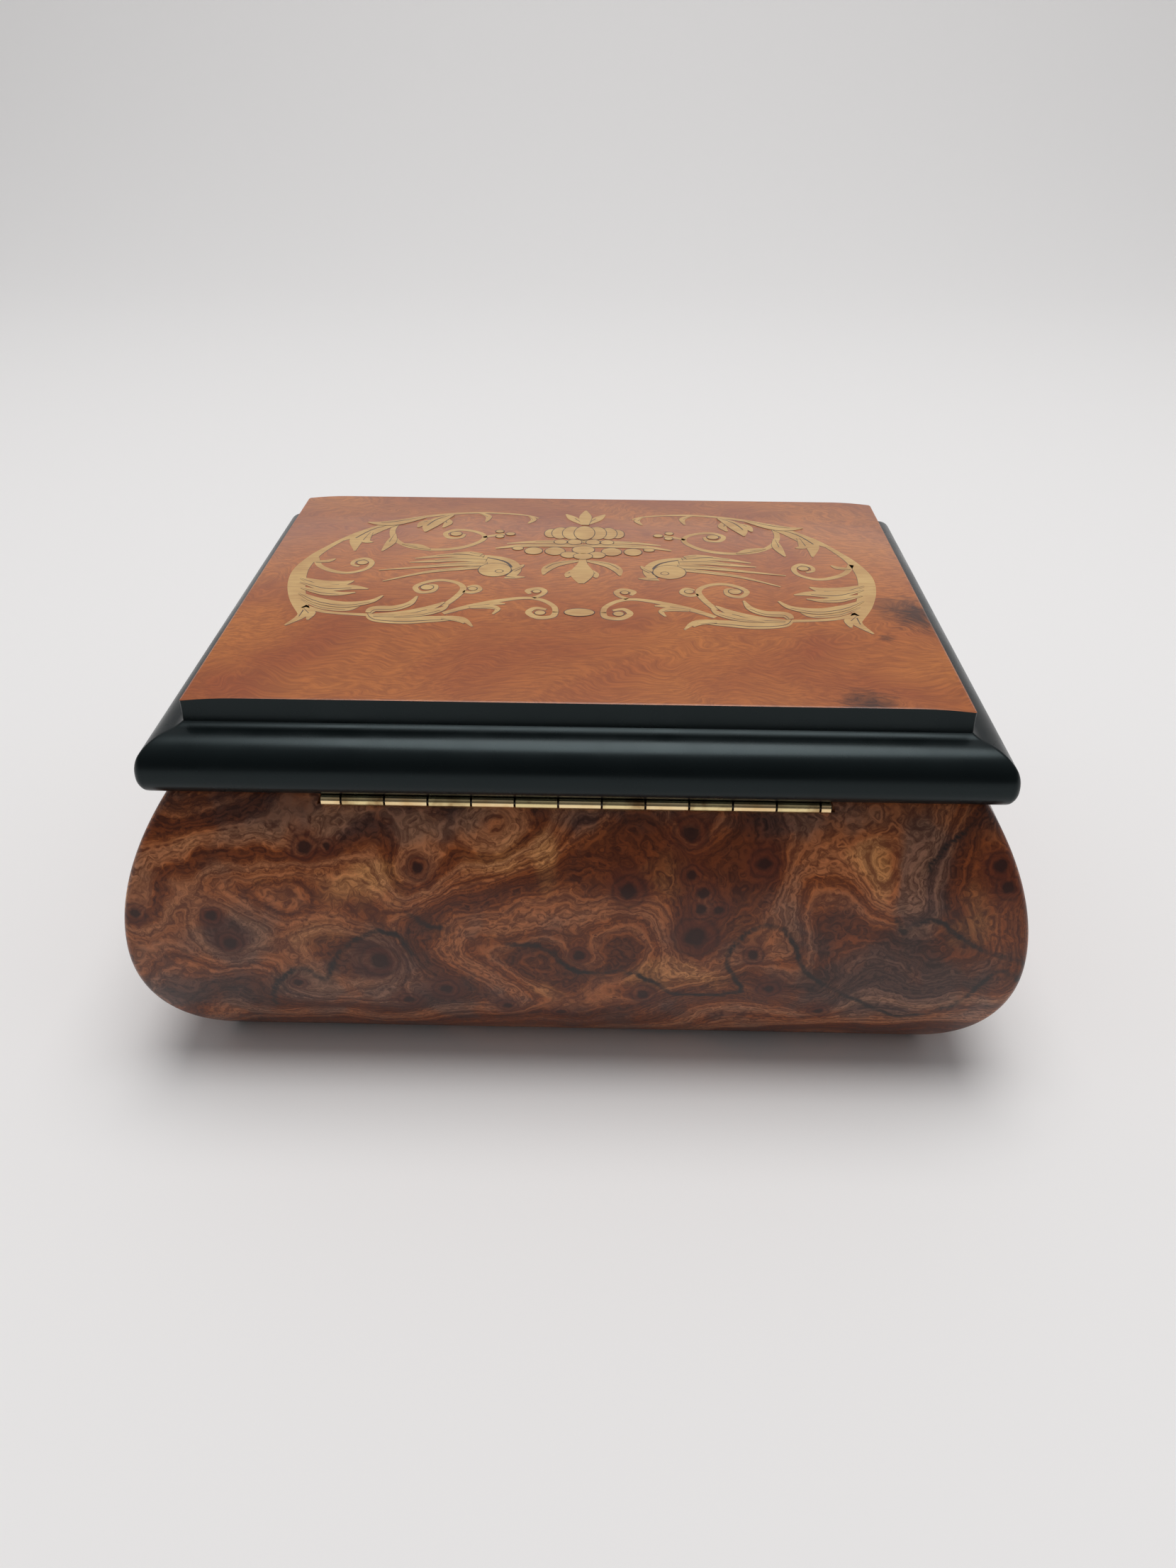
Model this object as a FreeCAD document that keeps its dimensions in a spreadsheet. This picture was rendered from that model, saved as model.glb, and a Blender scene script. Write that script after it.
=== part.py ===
import FreeCAD, Part
import math
import os
import types

import Sketcher
from FreeCAD import Placement, Rotation, Vector

# Musical jewel box: a swelling veneered case with a hinged lid, and a key-wound cylinder movement under a
# clear cover in its right half. Origin at the middle of the base, +Z up, the front towards -Y.

doc = FreeCAD.newDocument("music_box")
sheet = doc.addObject("Spreadsheet::Sheet", "Sizes")

# Driving dimensions in millimetres, and counts.
SIZES = {
    # case
    "rim_length": 113.0,
    "rim_width": 88.0,
    "wall": 5.5,
    "bulge": 8.0,
    "bulge_height": 22.5,
    "base_tuck": 10.25,
    "recess_depth": 11.0,
    "bottom_thickness": 3.0,
    "groove_depth": 2.0,
    "cover_height": 25.0,
    "cover_thickness": 2.0,
    "head_room": 5.0,
    # lid
    "lid_overhang": 3.5,
    "lid_edge_height": 9.0,
    "lid_corner_radius": 1.2,
    "lid_top_round": 5.2,
    "lid_bottom_round": 3.3,
    "panel_inset": 6.0,
    "panel_rise": 3.2,
    "cove_radius": 0.7,
    "least_flat": 0.05,
    "crown_run": 8.0,
    "crown_drop": 0.5,
    "veneer_thickness": 0.6,
    "lid_lining_gap": 1.2,
    "lid_lining_thickness": 1.5,
    # hinge
    "hinge_length": 70.5,
    "hinge_setback": 1.3,
    "knuckle_pitch": 6.0,
    "first_knuckle": 2.9,
    "knuckle_gap": 0.3,
    "barrel_radius": 0.9,
    "barrel_relief": 0.25,
    "hinge_pin_radius": 0.42,
    "hinge_pin_clearance": 0.03,
    "leaf_thickness": 0.45,
    "leaf_width": 5.2,
    "leaf_clearance": 0.1,
    "hinge_screw_radius": 0.6,
    "hinge_screw_head": 1.05,
    "hinge_screw_length": 5.0,
    "hinge_screw_spacing": 18.0,
    "hinge_screw_count": 4,
    # inside of the case
    "partition_thickness": 4.0,
    "partition_clearance": 1.5,
    "lining_thickness": 1.0,
    "lining_drop": 2.0,
    "floor_pad_thickness": 1.5,
    "rail_width": 2.0,
    "rail_height": 3.0,
    "pane_clearance": 0.2,
    # movement
    "bedplate_thickness": 3.0,
    "bedplate_margin": 1.0,
    "bedplate_skin": 0.3,
    "bedplate_screw_radius": 1.5,
    "bedplate_screw_head": 2.8,
    "bedplate_screw_head_height": 1.8,
    "screw_inset": 3.6,
    "screw_clearance": 0.05,
    "running_clearance": 0.05,
    "gear_module": 0.4,
    "barrel_teeth": 54,
    "pinion_teeth": 18,
    "cylinder_teeth": 36,
    "governor_teeth": 12,
    "worm_wheel_teeth": 24,
    "worm_starts": 2,
    "worm_radius": 2.0,
    "worm_length": 4.4,
    "gear_thickness": 1.2,
    "contrate_face": 1.4,
    "drum_height": 7.5,
    "drum_lift": 0.5,
    "drum_wall": 2.0,
    "drum_floor": 0.8,
    "mainspring_turns": 6,
    "mainspring_strip": 0.35,
    "winding_arbor_radius": 2.0,
    "bridge_width": 8.0,
    "bridge_thickness": 1.5,
    "bridge_post": 2.2,
    "part_gap": 0.6,
    "small_screw_radius": 0.8,
    "small_screw_head": 1.5,
    "small_screw_head_height": 0.9,
    "small_screw_grip": 4.5,
    "cylinder_radius": 6.5,
    "cylinder_wall": 1.0,
    "cylinder_margin": 0.4,
    "pin_height": 0.6,
    "pin_radius": 0.16,
    "pin_depth": 0.5,
    "pins_per_tooth": 8,
    "comb_teeth": 18,
    "tooth_pitch": 1.0667,
    "tooth_slot": 0.24,
    "tooth_clearance": 0.15,
    "comb_thickness": 1.0,
    "comb_depth": 12.2,
    "comb_heel": 5.0,
    "comb_screw_radius": 1.0,
    "comb_screw_head": 1.9,
    "comb_screw_head_height": 1.2,
    "comb_screw_grip": 4.0,
    "bass_tooth": 7.6,
    "treble_tooth": 5.2,
    "post_thickness": 1.8,
    "post_width": 7.0,
    "post_head": 3.5,
    "cylinder_arbor_radius": 1.0,
    "governor_arbor_radius": 0.8,
    "governor_post_thickness": 1.4,
    "governor_post_width": 3.0,
    "governor_wheel_thickness": 0.7,
    "fly_radius": 4.0,
    "fly_height": 4.0,
    "fly_blade": 0.5,
    "fly_hub_radius": 1.4,
    "fly_pivot_radius": 0.5,
    "fly_bracket_width": 4.0,
    "fly_bracket_strip": 1.4,
    "fly_column": 2.5,
    "stop_rod_radius": 0.6,
    "stop_gap": 0.1,
    "stop_finger": 0.8,
    # winding key
    "key_hub_radius": 3.0,
    "key_ground_clearance": 1.2,
    "key_top_gap": 1.4,
    "key_reach": 11.0,
    "key_wing_height": 6.4,
    "key_wing_thickness": 1.6,
    "key_eye_radius": 1.5,
}

for row, (alias, number) in enumerate(SIZES.items(), start=1):
    sheet.set(f"A{row}", alias.replace("_", " "))
    sheet.set(f"B{row}", str(number))
    sheet.setAlias(f"B{row}", alias)
doc.recompute()


class Size:
    """A size that knows its number and the sheet expression it comes from."""

    def __init__(self, value, text):
        self.value = value
        self.text = text

    def __add__(self, other):
        other = as_size(other)
        return Size(self.value + other.value, f"({self.text} + {other.text})")

    def __sub__(self, other):
        other = as_size(other)
        return Size(self.value - other.value, f"({self.text} - {other.text})")

    def __mul__(self, other):
        other = as_size(other)
        return Size(self.value * other.value, f"({self.text} * {other.text})")

    def __truediv__(self, other):
        other = as_size(other)
        return Size(self.value / other.value, f"({self.text} / {other.text})")

    def __neg__(self):
        return as_size(0) - self

    __radd__ = __add__
    __rmul__ = __mul__

    def __rsub__(self, other):
        return as_size(other) - self


def as_size(value):
    if isinstance(value, Size):
        return value
    return Size(float(value), f"({value})")


def smallest(*sizes):
    return Size(min(size.value for size in sizes), f"min({'; '.join(size.text for size in sizes)})")


d = types.SimpleNamespace(**{alias: Size(float(sheet.get(alias)), f"Sizes.{alias}") for alias in SIZES})
ZERO = as_size(0)

AXIS_TURN = {
    "X": Rotation(Vector(0, 1, 0), 90),
    "Y": Rotation(Vector(1, 0, 0), -90),
    "Z": Rotation(),
}
nodes = []


def node(piece):
    """Keep a finished sub-part: its label names its file."""
    nodes.append(piece)
    return piece


def bind(thing, **sizes):
    for name, value in sizes.items():
        thing.setExpression(name, as_size(value).text)


def place(thing, position, turn=Rotation()):
    x, y, z = (as_size(value) for value in position)
    thing.Placement = Placement(Vector(x.value, y.value, z.value), turn)
    thing.setExpression("Placement.Base.x", x.text)
    thing.setExpression("Placement.Base.y", y.text)
    thing.setExpression("Placement.Base.z", z.text)


def block(label, low, high):
    """A rectangular block between two corners."""
    box = doc.addObject("Part::Box", label)
    spans = [as_size(b) - as_size(a) for a, b in zip(low, high)]
    bind(box, Length=spans[0], Width=spans[1], Height=spans[2])
    place(box, low)
    return box


def rod(label, radius, start, length, axis="Z"):
    """A round bar from a start point along one axis."""
    bar = doc.addObject("Part::Cylinder", label)
    bind(bar, Radius=radius, Height=length)
    place(bar, start, AXIS_TURN[axis])
    return bar


def cone(label, radius_low, radius_high, start, length):
    taper = doc.addObject("Part::Cone", label)
    bind(taper, Radius1=radius_low, Radius2=radius_high, Height=length)
    place(taper, start)
    return taper


def join(label, pieces):
    fused = doc.addObject("Part::MultiFuse", label)
    fused.Shapes = pieces
    fused.Refine = True
    return fused


def group(label, pieces):
    """Like pieces kept as separate solids in one node."""
    gathered = doc.addObject("Part::Compound", label)
    gathered.Links = pieces
    return gathered


def cut(label, base, tools):
    trimmed = doc.addObject("Part::Cut", label)
    trimmed.Base = base
    trimmed.Tool = tools[0] if len(tools) == 1 else group(label + "_cuts", tools)
    return trimmed


def formed(label, shape, position, turn=Rotation()):
    """A piece whose outline comes from a formula, placed after its shape is set."""
    piece = doc.addObject("Part::Feature", label)
    piece.Shape = shape
    place(piece, position, turn)
    return piece


def new_sketch(body, role, label):
    sketch = body.newObject("Sketcher::SketchObject", label)
    plane = next(feature for feature in body.Origin.OriginFeatures if feature.Role == role)
    sketch.AttachmentSupport = [(plane, "")]
    sketch.MapMode = "FlatFace"
    return sketch


def outline(sketch, points, arcs=None):
    """Close an outline through points; arcs gives an edge's radius and its turn, +1 left or -1 right."""
    arcs = arcs or {}
    points = [(as_size(x), as_size(y)) for x, y in points]
    spots = [Vector(x.value, y.value, 0) for x, y in points]
    edges = []
    for index, start in enumerate(spots):
        stop = spots[(index + 1) % len(spots)]
        if index not in arcs:
            edges.append((sketch.addGeometry(Part.LineSegment(start, stop)), 1, 2))
            continue
        radius, turn = arcs[index]
        chord = stop - start
        rise = math.sqrt(radius.value ** 2 - (chord.Length / 2) ** 2)
        left = Vector(-chord.y, chord.x, 0) / chord.Length
        centre = (start + stop) / 2 + left * rise * turn
        first, last = (start, stop) if turn > 0 else (stop, start)
        angles = [math.atan2(spot.y - centre.y, spot.x - centre.x) for spot in (first, last)]
        circle = Part.Circle(centre, Vector(0, 0, 1), radius.value)
        number = sketch.addGeometry(Part.ArcOfCircle(circle, *angles))
        edges.append((number, 1, 2) if turn > 0 else (number, 2, 1))
        limit = sketch.addConstraint(Sketcher.Constraint("Radius", number, radius.value))
        sketch.setExpression(f"Constraints[{limit}]", radius.text)
    for index, (number, first, last) in enumerate(edges):
        before = edges[index - 1]
        sketch.addConstraint(Sketcher.Constraint("Coincident", before[0], before[2], number, first))
        for kind, value in zip(("DistanceX", "DistanceY"), points[index]):
            fixed = sketch.addConstraint(Sketcher.Constraint(kind, -1, 1, number, first, value.value))
            sketch.setExpression(f"Constraints[{fixed}]", value.text)
    return sketch


def rectangle(sketch, low, high):
    return outline(sketch, [low, (high[0], low[1]), high, (low[0], high[1])])


def swept(body, kind, sketch, label, length):
    """Pad or pocket a sketch evenly to both sides of its plane."""
    feature = body.newObject(f"PartDesign::{kind}", label)
    feature.Profile = sketch
    feature.SideType = "Symmetric"
    bind(feature, Length=length)
    sketch.Visibility = False
    return feature


def holes(body, label, spots, radius, height, depth):
    """Round holes square to Z, cut as deep below as above a height."""
    sketch = new_sketch(body, "XY_Plane", label + "_sketch")
    for spot in spots:
        number = sketch.addGeometry(Part.Circle(Vector(spot[0].value, spot[1].value, 0), Vector(0, 0, 1), 1))
        for kind, value in zip(("DistanceX", "DistanceY"), spot):
            fixed = sketch.addConstraint(Sketcher.Constraint(kind, -1, 1, number, 3, value.value))
            sketch.setExpression(f"Constraints[{fixed}]", value.text)
        limit = sketch.addConstraint(Sketcher.Constraint("Radius", number, 1))
        sketch.setExpression(f"Constraints[{limit}]", radius.text)
    sketch.setExpression("AttachmentOffset.Base.z", height.text)
    return swept(body, "Pocket", sketch, label, 2 * depth)


# Heights and half sizes shared by several pieces.
floor = d.recess_depth + d.bottom_thickness
cover_low = floor + d.cover_height
cover_high = cover_low + d.cover_thickness
rim = cover_high + d.head_room
cavity_x = d.rim_length / 2 - d.wall
cavity_y = d.rim_width / 2 - d.wall
hinge_y = d.rim_width / 2 + d.hinge_setback
hinge_z = rim - d.barrel_radius
leaf_inner = hinge_y - d.leaf_width
hinge_half = d.hinge_length / 2
hinge_screw_y = (leaf_inner + d.rim_width / 2) / 2
hinge_screw_xs = [
    d.hinge_screw_spacing * (number - (SIZES["hinge_screw_count"] - 1) / 2)
    for number in range(SIZES["hinge_screw_count"])
]


def swelling_wall(label, inner_length):
    """One mitred wall, in its own frame: X along the wall, Y outwards from its inner face."""
    body = doc.addObject("PartDesign::Body", label)
    crest = d.wall + d.bulge
    foot = crest - d.base_tuck
    rise = rim - d.bulge_height
    upper = (rise * rise + d.bulge * d.bulge) / (2 * d.bulge)
    lower = (d.bulge_height * d.bulge_height + d.base_tuck * d.base_tuck) / (2 * d.base_tuck)
    profile = new_sketch(body, "YZ_Plane", label + "_profile")
    points = [
        (ZERO, ZERO), (foot, ZERO), (crest, d.bulge_height), (d.wall, rim), (ZERO, rim), (ZERO, floor),
        (d.groove_depth, floor), (d.groove_depth, d.recess_depth), (ZERO, d.recess_depth),
    ]
    outline(profile, points, {1: (lower, 1), 2: (upper, 1)})
    swept(body, "Pad", profile, label + "_stock", inner_length + 4 * crest)
    for side, sign in (("left", -1), ("right", 1)):
        mitre = new_sketch(body, "XY_Plane", f"{label}_{side}_mitre")
        inner = inner_length / 2 * sign
        outer = (inner_length / 2 + 2 * crest) * sign
        outline(mitre, [(inner, ZERO), (outer, ZERO), (outer, 2 * crest)])
        swept(body, "Pocket", mitre, f"{label}_{side}_cut", 4 * rim)
    return body


node(swelling_wall("front_wall", 2 * cavity_x))
place(nodes[-1], (ZERO, -cavity_y, ZERO), Rotation(Vector(0, 0, 1), 180))
node(swelling_wall("left_wall", 2 * cavity_y))
place(nodes[-1], (-cavity_x, ZERO, ZERO), Rotation(Vector(0, 0, 1), 90))
node(swelling_wall("right_wall", 2 * cavity_y))
place(nodes[-1], (cavity_x, ZERO, ZERO), Rotation(Vector(0, 0, 1), -90))

# The back wall also has the hinge rabbet, the barrel's relief and the pilot holes of the hinge screws.
back_wall = swelling_wall("back_wall", 2 * cavity_x)
rabbet = new_sketch(back_wall, "YZ_Plane", "hinge_rabbet")
rabbet_low = (leaf_inner - d.leaf_clearance - cavity_y, hinge_z - d.barrel_radius)
rectangle(rabbet, rabbet_low, (d.wall + d.bulge, rim + d.barrel_radius))
swept(back_wall, "Pocket", rabbet, "hinge_rabbet_cut", d.hinge_length + 2 * d.leaf_clearance)
relief = new_sketch(back_wall, "YZ_Plane", "barrel_relief")
relief_reach = d.barrel_radius + d.barrel_relief
relief_low = (hinge_y - cavity_y - relief_reach, hinge_z - relief_reach)
rectangle(relief, relief_low, (d.wall + d.bulge, rim))
swept(back_wall, "Pocket", relief, "barrel_relief_cut", d.hinge_length + 2 * d.leaf_clearance)
pilot_spots = [(x, hinge_screw_y - cavity_y) for x in hinge_screw_xs]
pilot_radius = d.hinge_screw_radius + d.screw_clearance
body_leaf_low = hinge_z - d.barrel_radius
holes(back_wall, "back_pilot_holes", pilot_spots, pilot_radius, body_leaf_low, d.hinge_screw_length)
place(back_wall, (ZERO, cavity_y, ZERO))
node(back_wall)

# The lid: a moulded board with a crowned raised field, a marquetry sheet on it and a lining below.
lid_half_x = d.rim_length / 2 + d.lid_overhang
lid_half_y = d.rim_width / 2 + d.lid_overhang
panel_half_x = lid_half_x - d.panel_inset
panel_half_y = lid_half_y - d.panel_inset
panel_top = d.lid_edge_height + d.panel_rise
crown_radius = (d.crown_run * d.crown_run + d.crown_drop * d.crown_drop) / (2 * d.crown_drop)
crown_flat = panel_half_x - d.crown_run


# Points nearer than this are the same point.
TOUCH = 1e-3


def rounded(body, label, radius, chosen):
    """Round the edges of a body's last feature that a test picks."""
    doc.recompute()
    base = body.Tip
    picked = [f"Edge{number}" for number, edge in enumerate(base.Shape.Edges, start=1) if chosen(edge)]
    feature = body.newObject("PartDesign::Fillet", label)
    feature.Base = (base, picked)
    bind(feature, Radius=radius)
    return feature


def level(edge, height):
    return all(math.isclose(vertex.Z, height, abs_tol=TOUCH) for vertex in edge.Vertexes)


def is_upright(edge):
    return edge.BoundBox.XLength < TOUCH and edge.BoundBox.YLength < TOUCH


def on_field(edge):
    box = edge.BoundBox
    along = max(abs(box.XMin), abs(box.XMax)) < panel_half_x.value + TOUCH
    across = max(abs(box.YMin), abs(box.YMax)) < panel_half_y.value + TOUCH
    return along and across and level(edge, d.lid_edge_height.value)


lid_board = doc.addObject("PartDesign::Body", "lid_board")
plan = new_sketch(lid_board, "XY_Plane", "lid_plan")
rectangle(plan, (-lid_half_x, -lid_half_y), (lid_half_x, lid_half_y))
lid_stock = lid_board.newObject("PartDesign::Pad", "lid_stock")
lid_stock.Profile = plan
bind(lid_stock, Length=d.lid_edge_height)
# The top round leaves room for the bottom round below it and for the cove beside the field.
edge_room = d.lid_edge_height - d.lid_bottom_round - d.least_flat
ledge_room = d.panel_inset - d.cove_radius - d.least_flat
top_round = smallest(d.lid_top_round, edge_room, ledge_room)
rounded(lid_board, "lid_top_edge", top_round, lambda edge: level(edge, d.lid_edge_height.value))
rounded(lid_board, "lid_bottom_edge", d.lid_bottom_round, lambda edge: level(edge, 0))
rounded(lid_board, "lid_corners", d.lid_corner_radius, is_upright)
field = new_sketch(lid_board, "XZ_Plane", "raised_field")
field_points = [
    (-panel_half_x, d.lid_edge_height / 2), (panel_half_x, d.lid_edge_height / 2),
    (panel_half_x, panel_top - d.crown_drop), (crown_flat, panel_top),
    (-crown_flat, panel_top), (-panel_half_x, panel_top - d.crown_drop),
]
outline(field, field_points, {2: (crown_radius, 1), 4: (crown_radius, 1)})
swept(lid_board, "Pad", field, "raised_field_pad", 2 * panel_half_y)
rounded(lid_board, "field_cove", d.cove_radius, on_field)
groove = new_sketch(lid_board, "YZ_Plane", "barrel_groove")
groove_low = (hinge_y - relief_reach, -d.barrel_radius - relief_reach)
rectangle(groove, groove_low, (hinge_y + relief_reach, d.barrel_relief))
swept(lid_board, "Pocket", groove, "barrel_groove_cut", d.hinge_length + 2 * d.leaf_clearance)
lid_pilots = [(x, hinge_screw_y) for x in hinge_screw_xs]
holes(lid_board, "lid_pilot_holes", lid_pilots, pilot_radius, ZERO, d.hinge_screw_length)
place(lid_board, (ZERO, ZERO, rim))
node(lid_board)

lid_veneer = doc.addObject("PartDesign::Body", "lid_veneer")
veneer = new_sketch(lid_veneer, "XZ_Plane", "veneer_section")
lower = panel_top
upper = panel_top + d.veneer_thickness
veneer_points = [
    (-panel_half_x, lower - d.crown_drop), (-crown_flat, lower), (crown_flat, lower),
    (panel_half_x, lower - d.crown_drop), (panel_half_x, upper - d.crown_drop), (crown_flat, upper),
    (-crown_flat, upper), (-panel_half_x, upper - d.crown_drop),
]
veneer_arcs = {0: (crown_radius, -1), 2: (crown_radius, -1), 4: (crown_radius, 1), 6: (crown_radius, 1)}
outline(veneer, veneer_points, veneer_arcs)
swept(lid_veneer, "Pad", veneer, "veneer_sheet", 2 * panel_half_y)
place(lid_veneer, (ZERO, ZERO, rim))
node(lid_veneer)

lining_x = cavity_x - d.lid_lining_gap
lining_y = cavity_y - d.lid_lining_gap
lining_low = rim - d.lid_lining_thickness
node(block("lid_lining", (-lining_x, -lining_y, lining_low), (lining_x, lining_y, rim)))

# The piano hinge: two rolled leaves that share a pin, cut from stock, so its end knuckles are short.
knuckle_edges = [hinge_half, hinge_half - d.first_knuckle]
while knuckle_edges[-1].value - d.knuckle_pitch.value > -hinge_half.value:
    knuckle_edges.append(knuckle_edges[-1] - d.knuckle_pitch)
knuckle_edges.append(-hinge_half)
bore_radius = d.hinge_pin_radius + d.hinge_pin_clearance
plate_edge = hinge_y - d.barrel_radius - d.leaf_clearance


def hinge_leaf(label, first_knuckle, plate_low, head_low, head_radii):
    """A leaf's plate with every second knuckle, its pin bore and countersunk screw holes."""
    plate_high = plate_low + d.leaf_thickness
    plate = (-hinge_half, leaf_inner, plate_low), (hinge_half, plate_edge, plate_high)
    pieces = [block(f"{label}_plate", *plate)]
    for number in range(first_knuckle, len(knuckle_edges) - 1, 2):
        low = knuckle_edges[number + 1] + d.knuckle_gap / 2
        high = knuckle_edges[number] - d.knuckle_gap / 2
        web = (low, plate_edge - d.leaf_thickness, plate_low), (high, hinge_y, plate_high)
        pieces.append(block(f"{label}_web_{number}", *web))
        start = (low, hinge_y, hinge_z)
        pieces.append(rod(f"{label}_knuckle_{number}", d.barrel_radius, start, high - low, "X"))
    tools = [rod(f"{label}_bore", bore_radius, (-hinge_half, hinge_y, hinge_z), d.hinge_length, "X")]
    for number, x in enumerate(hinge_screw_xs):
        spot = (x, hinge_screw_y, head_low)
        radii = [radius + d.screw_clearance for radius in head_radii]
        tools.append(cone(f"{label}_sink_{number}", *radii, spot, d.leaf_thickness))
    return cut(label, join(f"{label}_rolled", pieces), tools)


def hinge_screw(label, x, head_low, head_radii, shank_low):
    head = cone(f"{label}_head", *head_radii, (x, hinge_screw_y, head_low), d.leaf_thickness)
    shank_length = d.hinge_screw_length - d.leaf_thickness
    shank = rod(f"{label}_shank", d.hinge_screw_radius, (x, hinge_screw_y, shank_low), shank_length)
    return join(label, [head, shank])


sunk = (d.hinge_screw_radius, d.hinge_screw_head)
lid_leaf_low = rim - d.leaf_thickness
body_shank_low = body_leaf_low - d.hinge_screw_length + d.leaf_thickness
node(hinge_leaf("hinge_body_leaf", 0, body_leaf_low, body_leaf_low, sunk))
node(hinge_leaf("hinge_lid_leaf", 1, lid_leaf_low, lid_leaf_low, sunk[::-1]))
node(rod("hinge_pin", d.hinge_pin_radius, (-hinge_half, hinge_y, hinge_z), d.hinge_length, "X"))
body_screws = [
    hinge_screw(f"body_screw_{number}", x, body_leaf_low, sunk, body_shank_low)
    for number, x in enumerate(hinge_screw_xs)
]
node(group("hinge_body_screws", body_screws))
lid_screws = [
    hinge_screw(f"lid_screw_{number}", x, lid_leaf_low, sunk[::-1], rim)
    for number, x in enumerate(hinge_screw_xs)
]
node(group("hinge_lid_screws", lid_screws))

# A tooth is cut this much deeper below its pitch line than it stands above it.
DEDENDUM_SHARE = 1.25

# The gear train's radii, and the chain of positions along the movement.
addendum = d.gear_module
dedendum = d.gear_module * DEDENDUM_SHARE
contrate_radius = d.gear_module * d.barrel_teeth / 2
pinion_pitch_radius = d.gear_module * d.pinion_teeth / 2
cylinder_gear_radius = d.gear_module * d.cylinder_teeth / 2
governor_pinion_radius = d.gear_module * d.governor_teeth / 2
worm_wheel_radius = d.gear_module * d.worm_wheel_teeth / 2
drum_radius = contrate_radius + d.drum_wall / 2
drum_inner = contrate_radius - d.drum_wall / 2

bed_top = floor + d.bedplate_thickness
drum_low = bed_top + d.drum_lift
drum_high = drum_low + d.drum_height
axis_z = drum_high + dedendum + pinion_pitch_radius

# Across the movement: comb, cylinder, governor, fly and stop rod.
governor_reach = cylinder_gear_radius + governor_pinion_radius
fly_reach = governor_reach + worm_wheel_radius + d.worm_radius
stop_reach = fly_reach + d.fly_radius + d.part_gap + d.stop_rod_radius
bed_reach_right = stop_reach + d.stop_rod_radius + d.bedplate_margin
axis_x = cavity_x - d.part_gap - bed_reach_right
governor_x = axis_x + governor_reach
fly_x = axis_x + fly_reach
stop_x = axis_x + stop_reach
comb_tip_x = axis_x - d.cylinder_radius - d.pin_height - d.tooth_clearance
comb_back_x = comb_tip_x - d.comb_depth
bed_left = comb_back_x - d.bedplate_margin
bed_right = axis_x + bed_reach_right

# Along the movement: barrel, front post, cylinder, cylinder gear, rear post, worm wheel and fly bracket.
cylinder_length = d.comb_teeth * d.tooth_pitch + 2 * d.cylinder_margin
barrel_span = d.bedplate_margin + 2 * drum_radius + d.part_gap
cylinder_span = d.post_thickness + d.part_gap + cylinder_length + d.part_gap + d.gear_thickness
wheel_span = 2 * d.part_gap + d.governor_wheel_thickness / 2
fly_span = d.fly_radius + d.part_gap + d.fly_column + d.bedplate_margin
bed_half = (barrel_span + cylinder_span + wheel_span + fly_span) / 2
barrel_y = -bed_half + d.bedplate_margin + drum_radius
front_post_low = -bed_half + barrel_span
cylinder_low = front_post_low + d.post_thickness + d.part_gap
cylinder_high = cylinder_low + cylinder_length
gear_low = cylinder_high + d.part_gap
gear_high = gear_low + d.gear_thickness
rear_post_low = gear_high + d.part_gap
wheel_low = gear_high + 2 * d.part_gap
fly_y = wheel_low + d.governor_wheel_thickness / 2
column_low = fly_y + d.fly_radius + d.part_gap
column_high = column_low + d.fly_column
pinion_y = barrel_y + contrate_radius

# The bottom panel sits in the walls' groove, with holes for the winding arbor and the movement's screws.
bed_screw_spots = [
    (bed_left + d.screw_inset, -bed_half + d.screw_inset),
    (bed_right - d.screw_inset, -bed_half + d.screw_inset),
    (bed_left + d.screw_inset, bed_half - d.screw_inset),
]
winding_spot = (axis_x, barrel_y)
panel_x = cavity_x + d.groove_depth - d.pane_clearance
panel_y = cavity_y + d.groove_depth - d.pane_clearance
bottom_panel = doc.addObject("PartDesign::Body", "bottom_panel")
bottom_plan = new_sketch(bottom_panel, "XY_Plane", "bottom_plan")
rectangle(bottom_plan, (-panel_x, -panel_y), (panel_x, panel_y))
bottom_sheet = bottom_panel.newObject("PartDesign::Pad", "bottom_sheet")
bottom_sheet.Profile = bottom_plan
bind(bottom_sheet, Length=d.bottom_thickness)
bed_hole = d.bedplate_screw_radius + d.screw_clearance
holes(bottom_panel, "bottom_screw_holes", bed_screw_spots, bed_hole, ZERO, d.bottom_thickness)
holes(bottom_panel, "winding_hole", [winding_spot], d.key_hub_radius, ZERO, d.bottom_thickness)
place(bottom_panel, (ZERO, ZERO, d.recess_depth))
node(bottom_panel)

# The jewel compartment on the left: a partition, a floor pad and four lining boards.
partition_right = bed_left - d.partition_clearance
partition_left = partition_right - d.partition_thickness
pad_high = floor + d.floor_pad_thickness
lining_high = rim - d.lining_drop
inner_left = -cavity_x + d.lining_thickness
inner_right = partition_left - d.lining_thickness
node(block("partition", (partition_left, -cavity_y, floor), (partition_right, cavity_y, cover_high)))
node(block("floor_pad", (-cavity_x, -cavity_y, floor), (partition_left, cavity_y, pad_high)))
node(block("lining_left", (-cavity_x, -cavity_y, pad_high), (inner_left, cavity_y, lining_high)))
node(block("lining_right", (inner_right, -cavity_y, pad_high), (partition_left, cavity_y, cover_high)))
back_lining_low = cavity_y - d.lining_thickness
node(block("lining_front", (inner_left, -cavity_y, pad_high), (inner_right, -back_lining_low, lining_high)))
node(block("lining_back", (inner_left, back_lining_low, pad_high), (inner_right, cavity_y, lining_high)))

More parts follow.
